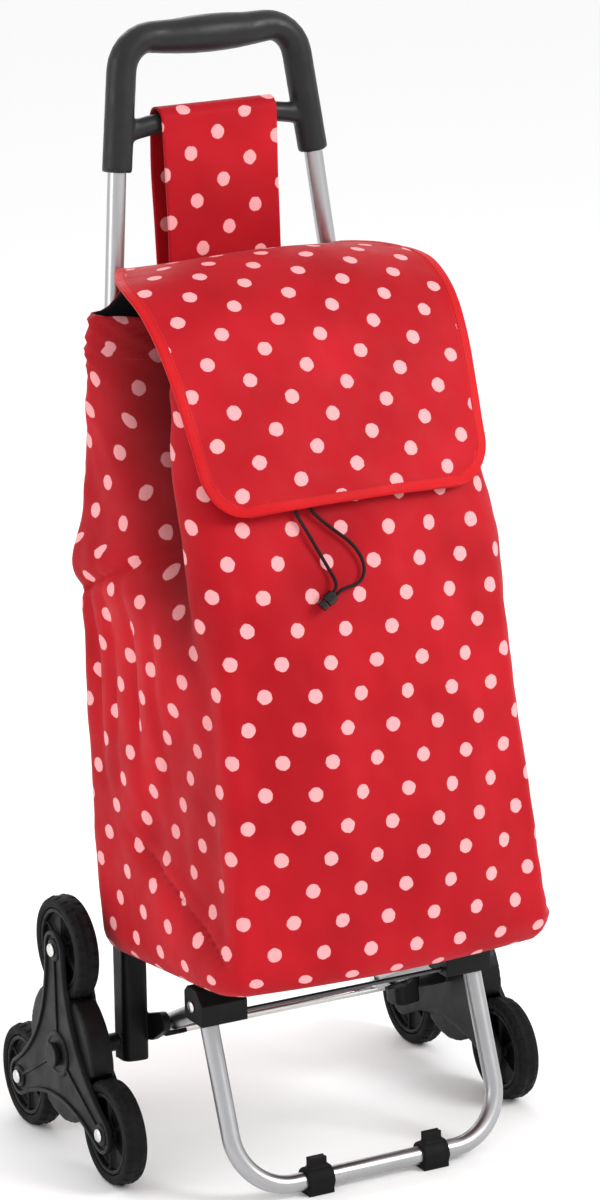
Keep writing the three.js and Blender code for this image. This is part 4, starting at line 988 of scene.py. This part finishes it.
def flap_stitches(piece, flat, total):
    """A row of stitches just inside the binding's inner edge."""
    inset, rear = BINDING_WIDTH - 0.0016, 0.004
    places = [rear + (total - rear) * math.sin(math.pi / 2 * k / 160) for k in range(161)]
    outline = [(flap_outline_half(along, total), along) for along in places]
    end_half = flap_outline_half(total, total)
    outline += [(end_half * (1 - k / 20), total) for k in range(1, 21)]
    line = np.array(outline)
    ahead = np.gradient(line, axis=0)
    ahead /= np.linalg.norm(ahead, axis=1, keepdims=True)
    inner = line + np.stack([-ahead[:, 1], ahead[:, 0]], 1) * inset
    inner[-1, 0] = 0
    whole = np.concatenate([inner, inner[::-1][1:] * np.array([-1, 1])])
    points, normals = [], []
    for place in whole:
        vertex = piece.data.vertices[int(np.argmin(((flat - place) ** 2).sum(1)))]
        points.append(vertex.co + Vector((place[0] - flat[vertex.index][0], 0, 0)))
        normals.append(tuple(vertex.normal))
    route = smooth_route(points[::3], 400)
    return stitches("flap_stitches", route, resample_normals(normals[::3], 400), "flap")


def resample_normals(normals, count):
    p = np.array(normals)
    t = np.linspace(0, len(p) - 1, count)
    return np.stack([np.interp(t, np.arange(len(p)), p[:, k]) for k in range(3)], 1)


def edge_distance(flat, total):
    """Distance of each flat point from the flap's bound edges: its two sides and its front."""
    edge = []
    for k in range(260):
        along = total * k / 259
        half = flap_outline_half(along, total)
        edge += [(half, along), (-half, along)]
    half = flap_outline_half(total, total)
    edge += [(half * (2 * k / 60 - 1), total) for k in range(61)]
    edge = np.array(edge)
    return np.array([np.hypot(*(edge - p).T).min() for p in flat])


def bind_edges(piece, edge):
    """Raises the bound edge a little, and gives it the binding's cloth."""
    for vertex, distance in zip(piece.data.vertices, edge):
        step = 1 - eased(distance, BINDING_WIDTH - 0.0012, BINDING_WIDTH)
        vertex.co += vertex.normal * BINDING_HEIGHT * float(step)
    for face in piece.data.polygons:
        if max(edge[v] for v in face.vertices) < BINDING_WIDTH + 0.0008:
            face.material_index = 2


flap, flap_seam = make_flap()


# --- hanging strap
STRAP_WIDTH = 0.110
STRAP_THICKNESS = 0.0016
CROSSBAR_Y, CROSSBAR_Z = LEAN * (0.876 - AXLE_Z), 0.886
# The strap's turn over the crossbar, as half its depth and its height
STRAP_TURN = (0.0118, 0.0108)
# Its rear fall up to the turn, and its front fall down from it: y from the axle, and height
STRAP_UP = [(0.0422, 0.745), (0.0430, 0.770), (0.0432, 0.800), (0.0445, 0.840)]
STRAP_DOWN = [(0.0735, 0.840), (0.0712, 0.790), (0.0650, 0.742), (0.0540, 0.700)]
STRAP_ROWS, STRAP_COLUMNS = 130, 45


def make_hanging_strap():
    """A wide band over the handle's crossbar, sewn to the top of the bag's back."""
    depth, rise = STRAP_TURN
    angles = [math.pi * (1 - k / 10) for k in range(11)]
    over = [(CROSSBAR_Y + depth * math.cos(a), CROSSBAR_Z + rise * math.sin(a)) for a in angles]
    route = smooth_route([(0, y + AXLE_Y, z) for y, z in [*STRAP_UP, *over, *STRAP_DOWN]], STRAP_ROWS)
    total = route_length(route)
    last = STRAP_ROWS - 1
    vertices, uvs = [], []
    for j, point in enumerate(route):
        tangent = (route[min(j + 1, last)] - route[max(j - 1, 0)]).normalized()
        normal = Vector((0, -tangent.z, tangent.y))
        along = total * j / last
        free = 1 - math.exp(-(((point.z - CROSSBAR_Z) / 0.03) ** 2))
        waist = 1 - 0.03 * math.sin(math.pi * min(1, abs(point.z - STRAP_DOWN[-1][1]) / 0.2))
        for i in range(STRAP_COLUMNS):
            x = STRAP_WIDTH * (i / (STRAP_COLUMNS - 1) - 0.5)
            wave = noise.noise(Vector((x * 16, along * 13, 12.2))) * 0.0016 * free
            vertices.append(Vector((x * waist, point.y, point.z)) + normal * wave)
            uvs.append((x + 3.0, along))
    faces = grid_faces(STRAP_ROWS, STRAP_COLUMNS)
    cloths = [STRAP_CLOTH, STRAP_CLOTH]
    piece = new_piece("hanging_strap_cloth", vertices, faces, "frame", cloths, uvs)
    thicken(piece, STRAP_THICKNESS, 1, 1)
    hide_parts("hanging_strap")


make_hanging_strap()


# --- hard pieces
TUBE_RADIUS = 0.008
FOOT_X, SEAT_Z = 0.135, 0.110
KNEE_X, KNEE_Z = 0.1065, 0.720
HANDLE_END_X, HANDLE_END_Z = 0.094, 0.845
# The platform's pivot on the bracket and its joint with the leg: y from the axle, and height
PLATFORM_PIVOT, LEG_JOINT = (-0.013, 0.106), (-0.132, 0.165)
LEG_FOOT = (-0.190, 0.012)
LEG_HALF, LEG_BEND = 0.128, 0.050
BRACE_RADIUS, ROD_RADIUS = 0.006, 0.002


def upright_at(side, z):
    """The centre line of an upright at a height."""
    if z < KNEE_Z:
        x = KNEE_X + (FOOT_X - KNEE_X) * (KNEE_Z - z) / (KNEE_Z - AXLE_Z)
    else:
        x = KNEE_X + (HANDLE_END_X - KNEE_X) * (z - KNEE_Z) / (HANDLE_END_Z - KNEE_Z)
    return Vector((side * x, AXLE_Y + LEAN * (z - AXLE_Z), z))


def smooth_tube(node, route, material, radius=TUBE_RADIUS, sides=40):
    piece = tube_piece(f"{node}_tube", route, radius, BODY_OF[node], material, sides)
    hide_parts(node)
    return piece


def from_axle(x, place):
    """A point at x, and at a (y from the axle, height) pair."""
    return Vector((x, AXLE_Y + place[0], place[1]))


def make_upright(name, side):
    corners = [upright_at(side, z) for z in (SEAT_Z, KNEE_Z, HANDLE_END_Z + 0.040)]
    smooth_tube(f"upright_{name}", rounded_route(corners, 0.15), TUBE)


def make_platform_arm(name):
    x = middle(f"platform_arm_{name}").x
    pivot, joint = from_axle(x, PLATFORM_PIVOT), from_axle(x, LEG_JOINT)
    reach = (joint - pivot).normalized()
    rim_step = reach * 0.0012
    root, end = pivot - reach * 0.0075, joint + reach * 0.0065
    route = even_route([root, root + rim_step, end - rim_step, end], 14)
    smooth_tube(f"platform_arm_{name}", route, LEG_TUBE)


def make_cross_tubes():
    for node, radius, sides, material in (
        ("cross_brace", BRACE_RADIUS, 40, TUBE),
        ("cross_rod", ROD_RADIUS, 20, WIRE),
    ):
        low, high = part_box(node)
        centre = middle(node)
        y = AXLE_Y + LEAN * (centre.z - AXLE_Z) if node == "cross_brace" else centre.y
        smooth_tube(node, [Vector((x, y, centre.z)) for x in (low.x, high.x)], material, radius, sides)


def make_leg_loop():
    joint, foot = from_axle(0, LEG_JOINT), from_axle(0, LEG_FOOT)
    end = joint + (joint - foot).normalized() * 0.006
    half = Vector((LEG_HALF, 0, 0))
    corners = [end - half, foot - half, foot + half, end + half]
    smooth_tube("leg_loop", rounded_route(corners, LEG_BEND, per_bend=20), LEG_TUBE)


WEB_HALF = 0.0065
# The webs under and over the crossbar: height, reach up the arm, and reach along the bar
WEBS = ((0.876, -0.026, 0.036), (0.882, 0.014, 0.020))


def web(corner, along_bar, along_arm):
    """A three-cornered web with a hollow long edge, between an arm of the handle and its crossbar."""
    outline = [corner, corner + along_bar]
    for k in range(1, 8):
        t = k / 8
        pull = 0.42 * math.sin(math.pi * t)
        outline.append(corner + along_bar * (1 - t) * (1 - pull) + along_arm * t * (1 - pull))
    outline.append(corner + along_arm)
    vertices = [p + Vector((0, dy, 0)) for dy in (-WEB_HALF, WEB_HALF) for p in outline]
    count = len(outline)
    faces = [list(range(count)), [count + k for k in range(count)][::-1]]
    faces += [[k, (k + 1) % count, count + (k + 1) % count, count + k] for k in range(count)]
    return vertices, faces


def make_handle():
    """The moulded handle, with a web under and over each end of its crossbar."""
    webs = []
    for _, side in SIDES:
        for height, up_arm, run in WEBS:
            corner = upright_at(side, height)
            along_arm = upright_at(side, height + up_arm) - corner
            webs.append(web(corner, Vector((-side * run, 0, 0.004)), along_arm))
    softened("handle_grip", 0.0016, GRIP, rounds=9, extra=webs)


TYRE_SEGMENTS, LUG_SEGMENTS = 168, 7
LUG_DEPTH, PARTING_DEPTH, PARTING_HALF = 0.0011, 0.0009, 0.0009


def tyre(node):
    """A tyre with rounded shoulders, a parting groove and two rows of staggered lugs."""
    low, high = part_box(node)
    radius, half = (high.z - low.z) / 2, (high.x - low.x) / 2
    inner = radius - 0.0097
    profile = [(inner, 0.0012 - half), (inner + 0.0015, 0.0003 - half), (inner + 0.004, -half)]
    for k in range(5):
        a = math.pi / 2 * k / 4
        profile.append((radius - 0.0042 + 0.0034 * math.sin(a), 0.0042 * (1 - math.cos(a)) + 0.0002 - half))
    profile += [(radius, -half * 0.40), (radius, -0.0008)]
    profile += [(r, -x) for r, x in reversed(profile)]

    def dip(segment, r, x):
        if abs(x) <= PARTING_HALF:
            return PARTING_DEPTH
        shift = LUG_SEGMENTS // 2 if x > 0 else 0
        between = (segment + shift) % LUG_SEGMENTS in (0, 1)
        return LUG_DEPTH if between and r > radius - 0.0025 else 0.0

    vertices, faces, _ = turned_mesh(profile, middle(node), TYRE_SEGMENTS, dip=dip)
    join_seam(stand_in(f"{node}_lugged", vertices, faces, node, RUBBER, sharp_deg=28), TINY)


def slab(centre, half, turn):
    """A six-sided block turned about the X axis, as vertices and faces."""
    vertices = []
    for dx in (-half[0], half[0]):
        for dy, dz in ((-1, -1), (1, -1), (1, 1), (-1, 1)):
            y, z = dy * half[1], dz * half[2]
            turned = (y * math.cos(turn) - z * math.sin(turn), y * math.sin(turn) + z * math.cos(turn))
            vertices.append(Vector(centre) + Vector((dx, *turned)))
    return vertices, [[3, 2, 1, 0], [4, 5, 6, 7], [0, 1, 5, 4], [1, 2, 6, 5], [2, 3, 7, 6], [3, 0, 4, 7]]


def rim(node):
    """A rim with six ribs across its web."""
    low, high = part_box(node)
    inner, outer = 0.0075, (high.z - low.z) / 2 - 0.003
    ribs = []
    for k in range(6):
        turn = math.pi * k / 3
        reach = (inner + outer) / 2
        place = middle(node) + Vector((0, -reach * math.sin(turn), reach * math.cos(turn)))
        ribs.append(slab(place, (0.0062, 0.0012, (outer - inner) / 2), turn))
    softened(node, 0.0011, RIM, rounds=2, extra=ribs)


def pin(node, shaft, heads):
    """A rivet or pin; heads maps an end, -1 or 1, to the (radius, height) of its domed head."""
    low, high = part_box(node)
    half, bevel = (high.x - low.x) / 2, 0.0006
    profile = []
    for end in (-1, 1):
        if end in heads:
            radius, height = heads[end]
            arc = [(shaft, end * (half - height)), (radius * 0.96, end * (half - height))]
            for k in range(6):
                a = math.pi / 2 * k / 6
                arc.append((radius * math.cos(a) ** 0.6, end * (half - height * 0.75 * (1 - math.sin(a)))))
            arc.append((0.0, end * half))
        else:
            arc = [(shaft, end * (half - bevel)), (shaft - bevel, end * half), (0.0, end * half)]
        profile += arc[::-1] if end < 0 else arc
    vertices, faces, _ = turned_mesh(profile, middle(node), 32, closed=False)
    join_seam(stand_in(f"{node}_domed", vertices, faces, node, ZINC, sharp_deg=35))


STAR_REACH, STAR_ARM, STAR_CROTCH = 0.095, 0.017, 0.022
HUB_BOSS, PIN_BOSS = 0.0205, 0.0098
# The cover's face from its edge inwards, as (depth behind the front, inset from the outline)
COVER_STEPS = ((0.0010, 0), (0.0003, 0.0003), (0, 0.0011), (0, 0.0030), (0.0004, 0.0036), (0.0022, 0.0040))


def polar(radius, angle):
    return np.array((radius * math.cos(angle), radius * math.sin(angle)))


def star_outline():
    """The three-armed outline as (y, z) points round the axle, with the first arm upright."""
    points = []
    for arm in range(3):
        a = math.pi / 2 - arm * 2 * math.pi / 3
        following = a - 2 * math.pi / 3
        tip = polar(STAR_REACH, a)
        points += [tip + polar(STAR_ARM, a + math.pi / 2 - math.pi * k / 12) for k in range(13)]
        start, pull = points[-1], polar(STAR_CROTCH, a - math.pi / 3)
        end = polar(STAR_REACH, following) + polar(STAR_ARM, following + math.pi / 2)
        for k in range(1, 16):
            t = k / 16
            points.append((1 - t) ** 2 * start + 2 * t * (1 - t) * pull + t * t * end)
    return np.array(points)


def split_large_faces(work):
    bmesh.ops.triangulate(work, faces=[f for f in work.faces if len(f.verts) > 4])


def star_cover(name, side):
    """The outer plate, with a bevelled edge, a raised border, a sunk face, bosses and ribs."""
    node = f"star_outer_{name}"
    low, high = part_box(node)
    near, far = (high.x, low.x) if side < 0 else (low.x, high.x)
    outline = star_outline()
    ahead = np.roll(outline, -1, axis=0) - np.roll(outline, 1, axis=0)
    ahead /= np.linalg.norm(ahead, axis=1, keepdims=True)
    inwards = np.stack([ahead[:, 1], -ahead[:, 0]], 1)
    # (x, inset) of the plate's layers, from its rear edge over the border to the sunk face
    layers = [(near, 0.0)] + [(far - side * depth, inset) for depth, inset in COVER_STEPS]
    vertices = [from_axle(x, (y, AXLE_Z + z)) for x, inset in layers for y, z in outline + inwards * inset]
    count = len(outline)
    faces = grid_faces(len(layers), count, closed=True)
    faces += [list(range(count))[::-1], [(len(layers) - 1) * count + k for k in range(count)]]
    piece = stand_in(f"star_cover_{name}", vertices, faces, node, BLACK, sharp_deg=30)
    edit_mesh(piece, split_large_faces)
    star_bosses(name, near, far, side)
    star_ribs(name, far, side)


def star_bosses(name, near, far, side):
    places = [(np.zeros(2), HUB_BOSS)]
    places += [(polar(STAR_REACH, math.pi / 2 + 2 * math.pi * k / 3), PIN_BOSS) for k in range(3)]
    top, hole = far - side * 0.0001, 0.0045
    for number, ((y, z), radius) in enumerate(places):
        profile = [(hole, near), (radius + 0.0006, near)]
        steps = ((0.0003, 0.0012), (-0.0006, 0.0002), (-0.0016, 0), (-0.0040, 0), (-0.0048, 0.0008))
        profile += [(radius + wider, top - side * depth) for wider, depth in steps]
        profile.append((hole, top - side * 0.0008))
        centre = from_axle(0, (y, AXLE_Z + z))
        boss_name, body = f"star_boss_{name}_{number}", f"star_{name}"
        boss = turned_piece(boss_name, profile, centre, body, BLACK, segments=48)
        edit_mesh(boss)


def star_ribs(name, far, side):
    reach, half = 0.0525, (0.0011, 0.0014, 0.0335)
    for k in range(3):
        turn = 2 * math.pi * k / 3
        place = from_axle(far - side * 0.0017, (-reach * math.sin(turn), AXLE_Z + reach * math.cos(turn)))
        vertices, faces = slab(place, half, turn)
        body, slot = f"star_{name}", "black_plastic"
        rib = edit_mesh(new_piece(f"star_rib_{name}_{k}", vertices, faces, body, BLACK, None, 30))
        bevel = rib.modifiers.new("bevel", "BEVEL")
        bevel.width = 0.0006
        bevel.segments = 2
        apply_modifiers(rib)


def make_wheels():
    for name, side in SIDES:
        softened(f"star_inner_{name}", 0.0016, BLACK, rounds=2)
        star_cover(name, side)
        for place in PLACES:
            tyre(f"tyre_{name}_{place}")
            rim(f"rim_{name}_{place}")
            pin(f"wheel_pin_{name}_{place}", 0.003, {side: (0.006, 0.003), -side: (0.005, 0.004)})


# Node, voxel, material and rounds of relaxing of the fittings at each side
FITTINGS = (
    ("bracket", 0.0011, BLACK, 3),
    ("joint_cap", 0.0009, BLACK, 3),
    ("foot", 0.0008, RUBBER, 3),
    ("axle_spacer", 0.0009, BLACK, 3),
    ("axle_cap", 0.0007, BLACK, 5),
    ("tie_strap", 0.0006, WEBBING, 3),
)


def make_fittings():
    for name, side in SIDES:
        for kind, voxel, material, rounds in FITTINGS:
            softened(f"{kind}_{name}", voxel, material, rounds)
        pin(f"pivot_bolt_{name}", 0.003, {-side: (0.006, 0.003)})
        pin(f"leg_rivet_{name}", 0.0025, {side: (0.005, 0.0025), -side: (0.005, 0.0025)})
    pin("axle", 0.004, {})


for name, side in SIDES:
    make_upright(name, side)
    make_platform_arm(name)
make_cross_tubes()
make_leg_loop()
make_handle()
make_wheels()
make_fittings()

board = softened("base_board", 0.0012, BOARD, rounds=3)

def make_flap_tape():
    """The cloth that joins the flap's rear edge to the inside of the bag's back."""
    top, bottom = FLAP_PROFILE[0][1] - 0.0012, 0.738
    rows, columns = 8, 61
    half = FLAP_HINGE_HALF - 0.003
    vertices, uvs = [], []
    for j in range(rows):
        z = top + (bottom - top) * j / (rows - 1)
        y = AXLE_Y + LEAN * (z - AXLE_Z) - CLOSEST - CLOTH_THICKNESS - 0.0003
        for i in range(columns):
            x = half * (2 * i / (columns - 1) - 1)
            vertices.append(Vector((x, y, z)))
            uvs.append((x + 1.0, 1.0 + top - z))
    faces, cloths = grid_faces(rows, columns), [FLAP_CLOTH, LINING, BINDING]
    piece = new_piece("flap_tape", vertices, faces, "frame", cloths, uvs)
    thicken(piece, 0.001, 1, 2)
    return piece


# The eyelet's section as (radius, distance out of the cloth)
EYELET = (
    (0.0020, -0.0030),
    (0.0020, 0.0008),
    (0.0025, 0.0014),
    (0.0035, 0.0013),
    (0.0044, 0.0004),
    (0.0044, -0.0008),
    (0.0024, -0.0010),
    (0.0024, -0.0030),
)


def make_eyelets():
    """Small metal eyelets where the drawcord leaves the hem, turned to face the front."""
    out = []
    for name, _ in SIDES:
        x, y, z = CORD_ROUTES[name][0]
        exit_point = Vector((x, y + AXLE_Y, z + AXLE_Z))
        piece = turned_piece(f"eyelet_{name}", EYELET, (0, 0, 0), "frame", ZINC, segments=32)
        for vertex in piece.data.vertices:
            ahead, across, up = vertex.co
            vertex.co = exit_point + Vector((across, -ahead, up))
        out.append(piece)
    return out


flap_tape = make_flap_tape()
eyelets = make_eyelets()


def crumple(pieces):
    """Gives the bag, its flap and what is fixed to its wall each a mesh of its own."""
    for piece in pieces:
        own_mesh(piece)


crumple([bag, *bag_seams, flap, flap_seam, flap_tape, *eyelets, *cords, *lock_pieces, board])


# --- studio
def make_floor():
    half = 40.0
    mesh = bpy.data.meshes.new("floor")
    corners = [(-half, -half, 0), (half, -half, 0), (half, half, 0), (-half, half, 0)]
    mesh.from_pydata(corners, [], [(0, 1, 2, 3)])
    mesh.materials.append(base_material("floor", (0.93, 0.93, 0.93), 0.8)[0])
    floor = bpy.data.objects.new("floor", mesh)
    bpy.context.scene.collection.objects.link(floor)


def make_light(name, place, aim, size, power):
    """A soft area light at a place, turned towards its aim."""
    data = bpy.data.lights.new(name, "AREA")
    data.shape = "RECTANGLE"
    data.size, data.size_y = size
    data.energy = power
    light = bpy.data.objects.new(name, data)
    bpy.context.scene.collection.objects.link(light)
    light.location = place
    light.rotation_mode = "QUATERNION"
    light.rotation_quaternion = (Vector(aim) - Vector(place)).to_track_quat("-Z", "Y")


def make_world():
    world = bpy.data.worlds.new("studio")
    world.use_nodes = True
    background = world.node_tree.nodes["Background"]
    background.inputs["Color"].default_value = (1, 1, 1, 1)
    background.inputs["Strength"].default_value = 1.0
    bpy.context.scene.world = world


bpy.context.scene.view_settings.view_transform = "Standard"
make_floor()
make_world()
make_light("key", (1.9, -2.4, 2.5), (0, 0, 0.5), (1.3, 1.3), 80)
make_light("fill", (-2.8, 0.2, 1.5), (0, 0, 0.5), (1.6, 1.6), 24)
make_light("back", (0.5, 2.6, 2.2), (0, 0, 0.6), (1.6, 1.2), 20)
